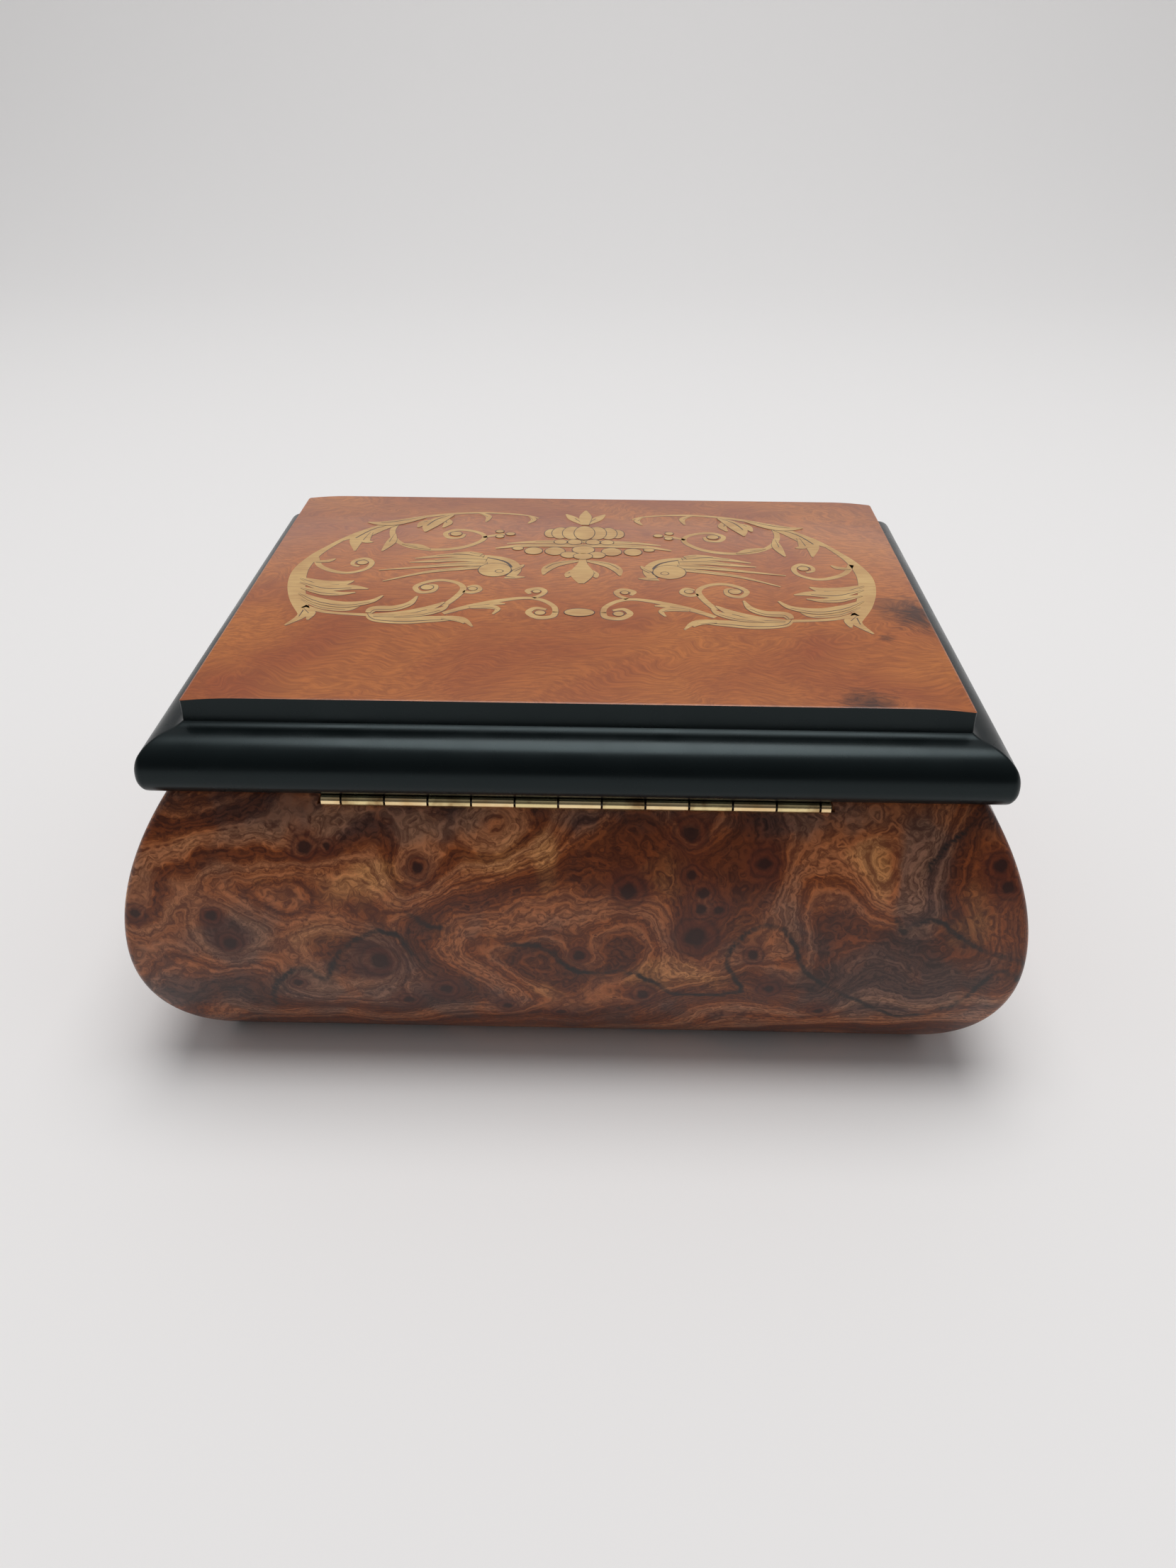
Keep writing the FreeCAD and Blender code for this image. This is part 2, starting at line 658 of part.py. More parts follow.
# The clear cover over the movement rests on two rails.
rail_low = cover_low - d.rail_height
rail_inner = cavity_y - d.rail_width
rails = [
    block("front_rail", (partition_right, -cavity_y, rail_low), (cavity_x, -rail_inner, cover_low)),
    block("back_rail", (partition_right, rail_inner, rail_low), (cavity_x, cavity_y, cover_low)),
]
node(group("cover_rails", rails))
pane_low = (partition_right + d.pane_clearance, d.pane_clearance - cavity_y, cover_low)
pane_high = (cavity_x - d.pane_clearance, cavity_y - d.pane_clearance, cover_high)
rod_hole = d.stop_rod_radius + d.pane_clearance
pane_hole = rod("pane_hole", rod_hole, (stop_x, fly_y, cover_low), d.cover_thickness)
node(cut("cover_pane", block("pane_sheet", pane_low, pane_high), [pane_hole]))

# The bedplate carries the whole movement.
bedplate = doc.addObject("PartDesign::Body", "bedplate")
bed_plan = new_sketch(bedplate, "XY_Plane", "bed_plan")
rectangle(bed_plan, (bed_left, -bed_half), (bed_right, bed_half))
bed_sheet = bedplate.newObject("PartDesign::Pad", "bed_sheet")
bed_sheet.Profile = bed_plan
bind(bed_sheet, Length=d.bedplate_thickness)
rounded(bedplate, "bed_corners", d.screw_inset / 2, is_upright)
arbor_hole = d.winding_arbor_radius + d.running_clearance
holes(bedplate, "bed_screw_holes", bed_screw_spots, bed_hole, ZERO, d.bedplate_thickness)
holes(bedplate, "bed_arbor_hole", [winding_spot], arbor_hole, ZERO, d.bedplate_thickness)
stop_hole = d.stop_rod_radius + d.running_clearance
holes(bedplate, "bed_stop_hole", [(stop_x, fly_y)], stop_hole, ZERO, d.bedplate_thickness)
place(bedplate, (ZERO, ZERO, floor))
node(bedplate)


# A driver slot's width, as a share of the head's height.
SLOT_SHARE = 1 / 3


def screw(label, spot, seat, shank_radius, head_radius, head_height, length, up=True):
    """A round-headed screw with a driver slot; its head stands on a seat, above it or below it."""
    head_low = seat if up else seat - head_height
    shank_low = seat - length if up else seat
    head = rod(f"{label}_head", head_radius, (*spot, head_low), head_height)
    shank = rod(f"{label}_shank", shank_radius, (*spot, shank_low), length)
    slot_low = head_low + head_height / 2 if up else head_low
    slot_half = head_height * SLOT_SHARE / 2
    low = (spot[0] - head_radius, spot[1] - slot_half, slot_low)
    high = (spot[0] + head_radius, spot[1] + slot_half, slot_low + head_height / 2)
    return cut(label, join(f"{label}_blank", [head, shank]), [block(f"{label}_slot", low, high)])


bed_screw_length = d.bottom_thickness + d.bedplate_thickness - d.bedplate_skin
bed_screws = []
for number, spot in enumerate(bed_screw_spots):
    head = (d.bedplate_screw_radius, d.bedplate_screw_head, d.bedplate_screw_head_height)
    bed_screws.append(screw(f"bed_screw_{number}", spot, d.recess_depth, *head, bed_screw_length, up=False))
node(group("bedplate_screws", bed_screws))


# Shares of a pitch that a tooth fills: the crown's are slimmer, because they turn in another plane.
TOOTH_SHARE = 0.38
CROWN_TOOTH_SHARE = 0.30

# A tooth's width at its root and tip, as shares of its width on the pitch line.
ROOT_SHARE = 1.4
TIP_SHARE = 0.55


def tooth_flanks(root, pitch_radius, tip):
    """Radius and share of the half width at each corner of a tooth, from one root to the other."""
    rising = [(root, -ROOT_SHARE), (pitch_radius, -1), (tip, -TIP_SHARE)]
    return rising + [(radius, -share) for radius, share in reversed(rising)]


def polar(radius, angle, height=0):
    return Vector(radius * math.cos(angle), radius * math.sin(angle), height)


def gear_face(teeth, pitch_radius, phase):
    """A wheel's toothed outline; flanks run straight from root to pitch line to tip."""
    step = 2 * math.pi / teeth
    half = step * TOOTH_SHARE / 2
    flanks = tooth_flanks(pitch_radius - dedendum.value, pitch_radius, pitch_radius + addendum.value)
    corners = []
    for number in range(teeth):
        middle = phase + number * step
        corners += [polar(radius, middle + share * half) for radius, share in flanks]
    return Part.Face(Part.makePolygon(corners + corners[:1]))


def gear(label, teeth, pitch_radius, phase, thickness, bore, position):
    """A spur wheel whose axis lies along Y; phase 0 puts a tooth towards +X."""
    blank = gear_face(teeth, pitch_radius.value, phase).extrude(Vector(0, 0, thickness.value))
    shape = blank.cut(Part.makeCylinder(bore.value, thickness.value))
    return formed(label, shape, position, AXIS_TURN["Y"])


# The spring barrel turns on the winding arbor; crown teeth round its rim drive the cylinder's pinion.
barrel_teeth = SIZES["barrel_teeth"]
pitch = math.pi * d.gear_module.value
half_tooth = pitch * CROWN_TOOTH_SHARE / 2
crown_height = dedendum.value + addendum.value
crown_section = [(share, height) for height, share in tooth_flanks(0, dedendum.value, crown_height)]
tooth_start = contrate_radius.value - d.contrate_face.value / 2
ring_top = drum_high.value
tooth_points = [Vector(share * half_tooth, tooth_start, ring_top + height) for share, height in crown_section]
tooth_section = Part.Face(Part.makePolygon(tooth_points + tooth_points[:1]))
tooth = tooth_section.extrude(Vector(0, d.contrate_face.value, 0))
drum = Part.makeCylinder(drum_radius.value, d.drum_height.value, Vector(0, 0, drum_low.value))
spring_room_low = drum_low + d.drum_floor
hollow = Part.makeCylinder(drum_inner.value, d.drum_height.value, Vector(0, 0, spring_room_low.value))
drum_bore = Part.makeCylinder(arbor_hole.value, d.drum_height.value, Vector(0, 0, drum_low.value))
crown = []
for number in range(barrel_teeth):
    crown_tooth = tooth.copy()
    crown_tooth.rotate(Vector(), Vector(0, 0, 1), 360 * (number + 0.5) / barrel_teeth)
    crown.append(crown_tooth)
node(formed("spring_barrel", drum.cut(hollow).cut(drum_bore).multiFuse(crown), (axis_x, barrel_y, ZERO)))
cover_bottom = drum_high - d.drum_floor
cover_disc = rod("cover_disc", drum_inner - d.running_clearance, (*winding_spot, cover_bottom), d.drum_floor)
cover_bore = rod("cover_bore", arbor_hole, (*winding_spot, cover_bottom), d.drum_floor)
node(cut("barrel_cover", cover_disc, [cover_bore]))


def spiral_strip(inner, outer, turns, strip):
    """A flat spiral of half circles, as a face in the XY plane."""
    count = 2 * turns
    step = (outer - strip - inner) / count
    walls = []
    for offset in (0, strip):
        edges = []
        for number in range(count):
            side = 1 if number % 2 == 0 else -1
            radius = inner + step * (number + 0.5) + offset
            middle = -side * step / 2
            ends = [Vector(middle + side * radius, 0, 0), Vector(middle - side * radius, 0, 0)]
            edges.append(Part.Arc(ends[0], Vector(middle, side * radius, 0), ends[1]).toShape())
        walls.append(edges)
    first = [edges[0].valueAt(edges[0].FirstParameter) for edges in walls]
    last = [edges[-1].valueAt(edges[-1].LastParameter) for edges in walls]
    caps = [Part.makeLine(*first), Part.makeLine(*last)]
    return Part.Face(Part.Wire(Part.__sortEdges__(walls[0] + walls[1] + caps)))


spring_height = cover_bottom - spring_room_low - 2 * d.running_clearance
spring_inner = d.winding_arbor_radius.value + d.part_gap.value
spring_outer = drum_inner.value - d.running_clearance.value
spring_face = spiral_strip(spring_inner, spring_outer, SIZES["mainspring_turns"], d.mainspring_strip.value)
spring_shape = spring_face.extrude(Vector(0, 0, spring_height.value))
node(formed("mainspring", spring_shape, (axis_x, barrel_y, spring_room_low + d.running_clearance)))

# The bridge over the barrel holds the winding arbor upright.
bridge_low = drum_high + dedendum + addendum + d.part_gap
bridge_high = bridge_low + d.bridge_thickness
post_inner = drum_radius + d.part_gap
post_outer = post_inner + d.bridge_post
bridge_front = barrel_y - d.bridge_width / 2
bridge_back = barrel_y + d.bridge_width / 2
bridge_left = axis_x - post_outer
bridge_right = axis_x + post_outer
bridge_pieces = [
    block("bridge_plate", (bridge_left, bridge_front, bridge_low), (bridge_right, bridge_back, bridge_high)),
    block("bridge_left_post", (bridge_left, bridge_front, bed_top),
          (axis_x - post_inner, bridge_back, bridge_low)),
    block("bridge_right_post", (axis_x + post_inner, bridge_front, bed_top),
          (bridge_right, bridge_back, bridge_low)),
]
bridge_screw_length = d.bridge_thickness + d.small_screw_grip
bridge_spots = [(axis_x + (post_inner + post_outer) / 2 * side, barrel_y) for side in (-1, 1)]
small_hole = d.small_screw_radius + d.screw_clearance
bridge_tools = [rod("bridge_bore", arbor_hole, (*winding_spot, bridge_low), d.bridge_thickness)]
bridge_screws = []
small = (d.small_screw_radius, d.small_screw_head, d.small_screw_head_height)
for number, spot in enumerate(bridge_spots):
    hole_low = bridge_high - bridge_screw_length
    bridge_tools.append(rod(f"bridge_hole_{number}", small_hole, (*spot, hole_low), bridge_screw_length))
    bridge_screws.append(screw(f"bridge_screw_{number}", spot, bridge_high, *small, bridge_screw_length))
node(cut("barrel_bridge", join("bridge_frame", bridge_pieces), bridge_tools))
node(group("bridge_screws", bridge_screws))

# The winding arbor and the winged key on its lower end, in the recess under the bottom panel.
key_low = d.key_ground_clearance
key_high = d.recess_depth - d.key_top_gap
arbor_low = (key_low + key_high) / 2
node(rod("winding_arbor", d.winding_arbor_radius, (*winding_spot, arbor_low), bridge_high - arbor_low))
wing_half = d.key_wing_thickness / 2
wing_radius = d.key_wing_height / 2
wing_middle = key_low + wing_radius
wing_arm = d.key_reach - wing_radius
key_pieces = [rod("key_hub", d.key_hub_radius, (*winding_spot, key_low), key_high - key_low)]
web_low = (axis_x - wing_arm, barrel_y - wing_half, key_low)
web_high = (axis_x + wing_arm, barrel_y + wing_half, key_low + d.key_wing_height)
key_pieces.append(block("key_web", web_low, web_high))
key_tools = [rod("key_socket", arbor_hole, (*winding_spot, arbor_low), key_high - arbor_low)]
for side, label in ((-1, "left"), (1, "right")):
    middle = (axis_x + wing_arm * side, barrel_y - wing_half, wing_middle)
    key_pieces.append(rod(f"key_{label}_wing", wing_radius, middle, d.key_wing_thickness, "Y"))
    key_tools.append(rod(f"key_{label}_eye", d.key_eye_radius, middle, d.key_wing_thickness, "Y"))
node(cut("winding_key", join("key_blank", key_pieces), key_tools))

# The pinned cylinder turns with its arbor, its pinion over the barrel's crown teeth and its gear at the rear.
comb_teeth = SIZES["comb_teeth"]
arbor_bore = d.cylinder_arbor_radius + d.screw_clearance


def on_axle(y):
    return (axis_x, y, axis_z)


shell = rod("cylinder_shell", d.cylinder_radius, on_axle(cylinder_low), cylinder_length, "Y")
room_start = on_axle(cylinder_low + d.cylinder_wall)
room_radius = d.cylinder_radius - d.cylinder_wall
room = rod("cylinder_room", room_radius, room_start, cylinder_length - 2 * d.cylinder_wall, "Y")
shell_bore = rod("cylinder_bore", arbor_bore, on_axle(cylinder_low), cylinder_length, "Y")
node(cut("cylinder", shell, [room, shell_bore]))

# The tune: each track's pins start a golden step after the last track's, and drift off an even beat.
TRACK_STEP = 0.382
PIN_DRIFT = 0.3
TRACK_BEAT = 2.4
PIN_BEAT = 1.7
pins = []
pins_per_tooth = SIZES["pins_per_tooth"]
for track in range(comb_teeth):
    along = d.cylinder_margin.value + d.tooth_pitch.value * (track + 0.5)
    for number in range(pins_per_tooth):
        drift = PIN_DRIFT * math.sin(track * TRACK_BEAT + number * PIN_BEAT)
        angle = 2 * math.pi * (number + drift + track * TRACK_STEP) / pins_per_tooth
        outward = Vector(math.cos(angle), math.sin(angle), 0)
        root = outward * (d.cylinder_radius.value - d.pin_depth.value) + Vector(0, 0, along)
        length = d.pin_depth.value + d.pin_height.value
        pins.append(Part.makeCylinder(d.pin_radius.value, length, root, outward))
node(formed("cylinder_pins", Part.makeCompound(pins), on_axle(cylinder_low), AXIS_TURN["Y"]))

pinion_low = pinion_y - d.contrate_face / 2
tooth_down = math.pi / 2
node(gear("cylinder_pinion", SIZES["pinion_teeth"], pinion_pitch_radius, tooth_down, d.contrate_face,
          arbor_bore, on_axle(pinion_low)))
node(gear("cylinder_gear", SIZES["cylinder_teeth"], cylinder_gear_radius, 0, d.gear_thickness, arbor_bore,
          on_axle(gear_low)))
arbor_start = pinion_low - d.part_gap / 2
rear_post_high = rear_post_low + d.post_thickness
cylinder_arbor_length = rear_post_high + d.part_gap / 2 - arbor_start
node(rod("cylinder_arbor", d.cylinder_arbor_radius, on_axle(arbor_start), cylinder_arbor_length, "Y"))

# Two posts carry the cylinder's arbor.
post_bore = d.cylinder_arbor_radius + d.running_clearance
for label, low in (("front_post", front_post_low), ("rear_post", rear_post_low)):
    high = low + d.post_thickness
    left = axis_x - d.post_width / 2
    right = axis_x + d.post_width / 2
    plate = block(f"{label}_plate", (left, low, bed_top), (right, high, axis_z + d.post_head))
    node(cut(label, plate, [rod(f"{label}_bore", post_bore, on_axle(low), d.post_thickness, "Y")]))

# The comb: tuned teeth, longest at the bass end, screwed to a heel that brings them level with the axis.
COMB_SCREW_SHARES = (0.25, 0.75)
comb_low = axis_z - d.comb_thickness / 2
comb_high = axis_z + d.comb_thickness / 2
comb_front = cylinder_low + d.cylinder_margin
comb_back = cylinder_high - d.cylinder_margin
heel_x = comb_back_x + d.comb_heel
heel = block("comb_heel_block", (comb_back_x, comb_front, bed_top), (heel_x, comb_back, comb_low))
comb_spots = [
    (comb_back_x + d.comb_heel / 2, comb_front + d.comb_teeth * d.tooth_pitch * share)
    for share in COMB_SCREW_SHARES
]
comb_hole = d.comb_screw_radius + d.screw_clearance
comb_screw_length = d.comb_thickness + d.comb_screw_grip
comb_tools = []
for number, spot in enumerate(comb_spots):
    hole_low = comb_high - comb_screw_length
    comb_tools.append(rod(f"comb_hole_{number}", comb_hole, (*spot, hole_low), comb_screw_length))
node(cut("comb_base", heel, comb_tools))
corners = [Vector(0, 0, 0), Vector(0, comb_teeth * d.tooth_pitch.value, 0)]
for number in reversed(range(comb_teeth)):
    share = number / (comb_teeth - 1)
    tooth_length = d.treble_tooth.value + (d.bass_tooth.value - d.treble_tooth.value) * share
    slot_x = d.comb_depth.value - tooth_length
    high = d.tooth_pitch.value * (number + 1) - d.tooth_slot.value / 2
    low = d.tooth_pitch.value * number + d.tooth_slot.value / 2
    corners += [Vector(slot_x, high, 0), Vector(d.comb_depth.value, high, 0)]
    corners += [Vector(d.comb_depth.value, low, 0), Vector(slot_x, low, 0)]
comb_plate = Part.Face(Part.makePolygon(corners + corners[:1])).extrude(Vector(0, 0, d.comb_thickness.value))
for x, y in comb_spots:
    spot = Vector((x - comb_back_x).value, (y - comb_front).value, 0)
    comb_plate = comb_plate.cut(Part.makeCylinder(comb_hole.value, d.comb_thickness.value, spot))
node(formed("comb", comb_plate, (comb_back_x, comb_front, comb_low)))
comb_screws = []
for number, spot in enumerate(comb_spots):
    head = (d.comb_screw_radius, d.comb_screw_head, d.comb_screw_head_height)
    comb_screws.append(screw(f"comb_screw_{number}", spot, comb_high, *head, comb_screw_length))
node(group("comb_screws", comb_screws))

# The governor: a pinion on the cylinder's gear turns the worm wheel, which spins the fly by its worm.
half_tooth_turn = math.pi / SIZES["governor_teeth"]
governor_bore = d.governor_arbor_radius + d.screw_clearance
strip_top = bed_top + d.fly_bracket_strip
governor_front_high = gear_low - d.part_gap
governor_front_low = governor_front_high - d.governor_post_thickness
governor_rear_low = wheel_low + d.governor_wheel_thickness + 2 * d.part_gap
governor_rear_high = governor_rear_low + d.governor_post_thickness
governor_left = governor_x - d.governor_post_width / 2
governor_right = governor_x + d.governor_post_width / 2
governor_top = axis_z + d.post_head
governor_corner = (governor_left, governor_front_low, bed_top)
governor_pieces = [
    block("governor_foot", governor_corner, (governor_right, governor_rear_high, strip_top)),
    block("governor_front", governor_corner, (governor_right, governor_front_high, governor_top)),
    block("governor_rear", (governor_left, governor_rear_low, bed_top),
          (governor_right, governor_rear_high, governor_top)),
]
governor_length = governor_rear_high - governor_front_low
governor_journal = d.governor_arbor_radius + d.running_clearance
governor_start = (governor_x, governor_front_low, axis_z)
governor_bores = [rod("governor_bores", governor_journal, governor_start, governor_length, "Y")]
node(cut("governor_bracket", join("governor_frame", governor_pieces), governor_bores))
node(rod("governor_arbor", d.governor_arbor_radius, governor_start, governor_length, "Y"))
pinion_start = (governor_x, gear_low - d.part_gap / 2, axis_z)
pinion_length = d.gear_thickness + d.part_gap
node(gear("governor_pinion", SIZES["governor_teeth"], governor_pinion_radius, half_tooth_turn, pinion_length,
          governor_bore, pinion_start))
node(gear("governor_wheel", SIZES["worm_wheel_teeth"], worm_wheel_radius, 0, d.governor_wheel_thickness,
          governor_bore, (governor_x, wheel_low, axis_z)))


def worm_shape():
    """A threaded worm: its cross-section, one lobe for each start, turns steadily as it climbs."""
    starts = SIZES["worm_starts"]
    lead = starts * math.pi * d.gear_module.value
    root = d.worm_radius.value - dedendum.value
    tip = d.worm_radius.value + addendum.value
    half = math.pi / starts * TOOTH_SHARE
    lobe = tooth_flanks(root, d.worm_radius.value, tip)
    gap = 2 * math.pi / starts - 2 * ROOT_SHARE * half
    gap_steps = 3
    levels_per_turn = 24
    levels = []
    count = round(d.worm_length.value / lead * levels_per_turn)
    for level_number in range(count + 1):
        height = d.worm_length.value * (level_number / count - 0.5)
        ring = []
        for start in range(starts):
            middle = WORM_PHASE + 2 * math.pi * (start / starts + height / lead)
            ring += [(radius, middle + share * half) for radius, share in lobe]
            for step in range(1, gap_steps):
                ring.append((root, middle + ROOT_SHARE * half + gap * step / gap_steps))
        corners = [polar(radius, angle, height) for radius, angle in ring]
        levels.append(Part.makePolygon(corners + corners[:1]))
    return Part.makeLoft(levels, True, True)


# At rest a groove of the worm, on its side towards the wheel, holds the wheel's tooth.
WORM_PHASE = math.pi / 2
arm_low = axis_z + d.worm_length / 2 + d.part_gap
arm_high = arm_low + d.fly_bracket_strip
pivot_low = bed_top + d.running_clearance
pivot_length = arm_high - pivot_low
pivot_start = Vector(0, 0, (pivot_low - axis_z).value)
pivot = Part.makeCylinder(d.fly_pivot_radius.value, pivot_length.value, pivot_start)
node(formed("fly_worm", worm_shape().fuse(pivot), (fly_x, fly_y, axis_z)))
fan_low = strip_top + d.part_gap
fan_high = fan_low + d.fly_height
fan_pieces = [
    rod("fan_hub", d.fly_hub_radius, (fly_x, fly_y, fan_low), d.fly_height),
    block("fan_blade", (fly_x - d.fly_radius, fly_y - d.fly_blade / 2, fan_low),
          (fly_x + d.fly_radius, fly_y + d.fly_blade / 2, fan_high)),
]
fan_bore = rod("fan_bore", d.fly_pivot_radius + d.screw_clearance, (fly_x, fly_y, fan_low), d.fly_height)
node(cut("fly_fan", join("fan_blank", fan_pieces), [fan_bore]))

bracket_left = fly_x - d.fly_bracket_width / 2
bracket_right = fly_x + d.fly_bracket_width / 2
bracket_front = fly_y - d.fly_bracket_width / 2
bracket_pieces = [
    block("fly_foot", (bracket_left, bracket_front, bed_top), (bracket_right, column_high, strip_top)),
    block("fly_column", (bracket_left, column_low, bed_top), (bracket_right, column_high, arm_high)),
    block("fly_arm", (bracket_left, bracket_front, arm_low), (bracket_right, column_high, arm_high)),
]
fly_journal = d.fly_pivot_radius + d.running_clearance
fly_bore = rod("fly_bore", fly_journal, (fly_x, fly_y, bed_top), arm_high - bed_top)
node(cut("fly_bracket", join("fly_frame", bracket_pieces), [fly_bore]))

# The stop rod: the closed lid holds it down, and its finger then lies on the fly.
stop_low = floor + d.running_clearance
stop_high = lining_low - d.stop_gap
finger_low = fan_high + d.stop_gap
finger_x = fly_x + d.fly_radius - d.stop_finger
finger_half = d.stop_finger / 2
stop_pieces = [
    rod("stop_wire", d.stop_rod_radius, (stop_x, fly_y, stop_low), stop_high - stop_low),
    block("stop_finger_bar", (finger_x, fly_y - finger_half, finger_low),
          (stop_x, fly_y + finger_half, finger_low + d.stop_finger)),
]
node(join("stop_rod", stop_pieces))

doc.recompute()
for thing in doc.Objects:
    if "Invalid" in thing.State or "Error" in thing.State:
        raise RuntimeError(f"{thing.Name} failed: {thing.State}")
for piece in nodes:
    if piece.Shape.isNull() or not piece.Shape.isValid():
        raise RuntimeError(f"{piece.Label} has no valid shape")

os.makedirs("parts", exist_ok=True)
for piece in nodes:
    piece.Shape.exportStep(f"parts/{piece.Label}.step")
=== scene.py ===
import math
import random

import bmesh
import bpy
import numpy as np
from mathutils import Matrix, Vector


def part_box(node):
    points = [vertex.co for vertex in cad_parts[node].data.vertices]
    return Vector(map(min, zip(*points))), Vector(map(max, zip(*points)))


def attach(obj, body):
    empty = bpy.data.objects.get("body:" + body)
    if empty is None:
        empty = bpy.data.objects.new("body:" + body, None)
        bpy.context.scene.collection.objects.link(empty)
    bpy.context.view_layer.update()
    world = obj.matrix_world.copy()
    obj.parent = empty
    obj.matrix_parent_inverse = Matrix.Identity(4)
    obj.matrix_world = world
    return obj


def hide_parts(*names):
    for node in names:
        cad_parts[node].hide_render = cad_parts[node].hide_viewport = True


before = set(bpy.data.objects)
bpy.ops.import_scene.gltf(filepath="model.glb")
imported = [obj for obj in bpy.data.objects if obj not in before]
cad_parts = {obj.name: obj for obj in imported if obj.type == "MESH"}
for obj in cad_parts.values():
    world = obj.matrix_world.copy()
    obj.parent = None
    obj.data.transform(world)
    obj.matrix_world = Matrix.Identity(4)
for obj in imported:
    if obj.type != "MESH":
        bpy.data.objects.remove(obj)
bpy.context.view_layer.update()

# The case: four mitred walls of swelling section, moulded from solid stock and faced with burl veneer.
# The mitres are sanded to a small radius, and the top of the back wall is rabbeted for the hinge.
MM = 0.001
WALL_CREST_HEIGHT = 22.5 * MM
WALL_BULGE = 8.0 * MM
WALL_TUCK = 10.25 * MM
WALL_CORNER = 1.1 * MM
WALL_RIM_EASE = 0.35 * MM
PANEL_GROOVE = 2.0 * MM
RABBET_PLAY = 0.1 * MM
ARC_STEPS = 46
CORNER_STEPS = 5
SHEET_STEPS = 250
SHARP_ANGLE = math.radians(32)

wall_low, wall_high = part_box("back_wall")
wall_depth = wall_high.y - wall_low.y
cavity_y = wall_low.y
cavity_x = wall_high.x - wall_depth
rim = wall_high.z
panel_low, panel_high = (corner.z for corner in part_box("bottom_panel"))
leaf_low, leaf_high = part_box("hinge_body_leaf")
rabbet_half = leaf_high.x + RABBET_PLAY
rabbet_root = leaf_low.y - RABBET_PLAY - cavity_y


def linear(code):
    """A colour written as sRGB hex, in linear light."""
    parts = [int(code[start:start + 2], 16) / 255 for start in (1, 3, 5)]
    return [part / 12.92 if part <= 0.04045 else ((part + 0.055) / 1.055) ** 2.4 for part in parts] + [1]


def wire(tree, made, inputs):
    """Give a node's inputs their values; another node or its socket is linked instead."""
    for key, value in inputs.items():
        if isinstance(value, bpy.types.Node):
            value = value.outputs[0]
        if isinstance(value, bpy.types.NodeSocket):
            tree.links.new(value, made.inputs[key])
        else:
            made.inputs[key].default_value = value


def add(tree, kind, inputs, **settings):
    """Add a shader node with its settings and links."""
    made = tree.nodes.new("ShaderNode" + kind)
    for name, value in settings.items():
        setattr(made, name, value)
    wire(tree, made, inputs)
    return made


def new_material(name):
    """A fresh material, with its node tree and its main shader."""
    material = bpy.data.materials.new(name)
    material.use_nodes = True
    return material, material.node_tree, material.node_tree.nodes["Principled BSDF"]


def piece(name, points, faces, *materials):
    """A mesh object with smooth faces and crisp arrises."""
    mesh = bpy.data.meshes.new(name)
    mesh.from_pydata(points, [], faces)
    mesh.shade_smooth()
    mesh.set_sharp_from_angle(angle=SHARP_ANGLE)
    made = bpy.data.objects.new(name, mesh)
    bpy.context.scene.collection.objects.link(made)
    for material in materials:
        mesh.materials.append(material)
    return made


def wall_section():
    """The points round a wall's section: offset from its inner face, height, and run along the veneer."""
    lower = (WALL_CREST_HEIGHT ** 2 + WALL_TUCK ** 2) / (2 * WALL_TUCK)
    rise = rim - WALL_CREST_HEIGHT
    upper = (rise ** 2 + WALL_BULGE ** 2) / (2 * WALL_BULGE)
    lower_turn = math.asin(WALL_CREST_HEIGHT / lower)
    upper_turn = math.asin((rise - WALL_RIM_EASE) / upper)
    outside = []
    for step in range(ARC_STEPS):
        turn = lower_turn * (1 - step / ARC_STEPS)
        offset = wall_depth - lower * (1 - math.cos(turn))
        outside.append((offset, WALL_CREST_HEIGHT - lower * math.sin(turn), -lower * turn))
    for step in range(ARC_STEPS + 1):
        turn = upper_turn * step / ARC_STEPS
        offset = wall_depth - upper * (1 - math.cos(turn))
        outside.append((offset, WALL_CREST_HEIGHT + upper * math.sin(turn), upper * turn))
    edge, _, run = outside[-1]
    inside = [
        (edge - WALL_RIM_EASE, rim, run + WALL_RIM_EASE), (rabbet_root, rim, run + edge),
        (0, rim, run + edge), (0, panel_high, run), (PANEL_GROOVE, panel_high, run),
        (PANEL_GROOVE, panel_low, run), (0, panel_low, run), (0, 0, run),
    ]
    return outside, inside


def rabbeted(outside, inside):
    """The section where the hinge lies: cut down to the body leaf's underside, as far in as its root."""
    cut = [(offset, min(height, leaf_low.z), run) for offset, height, run in outside]
    return cut, [(rabbet_root, leaf_low.z, inside[0][2])] + inside[1:]


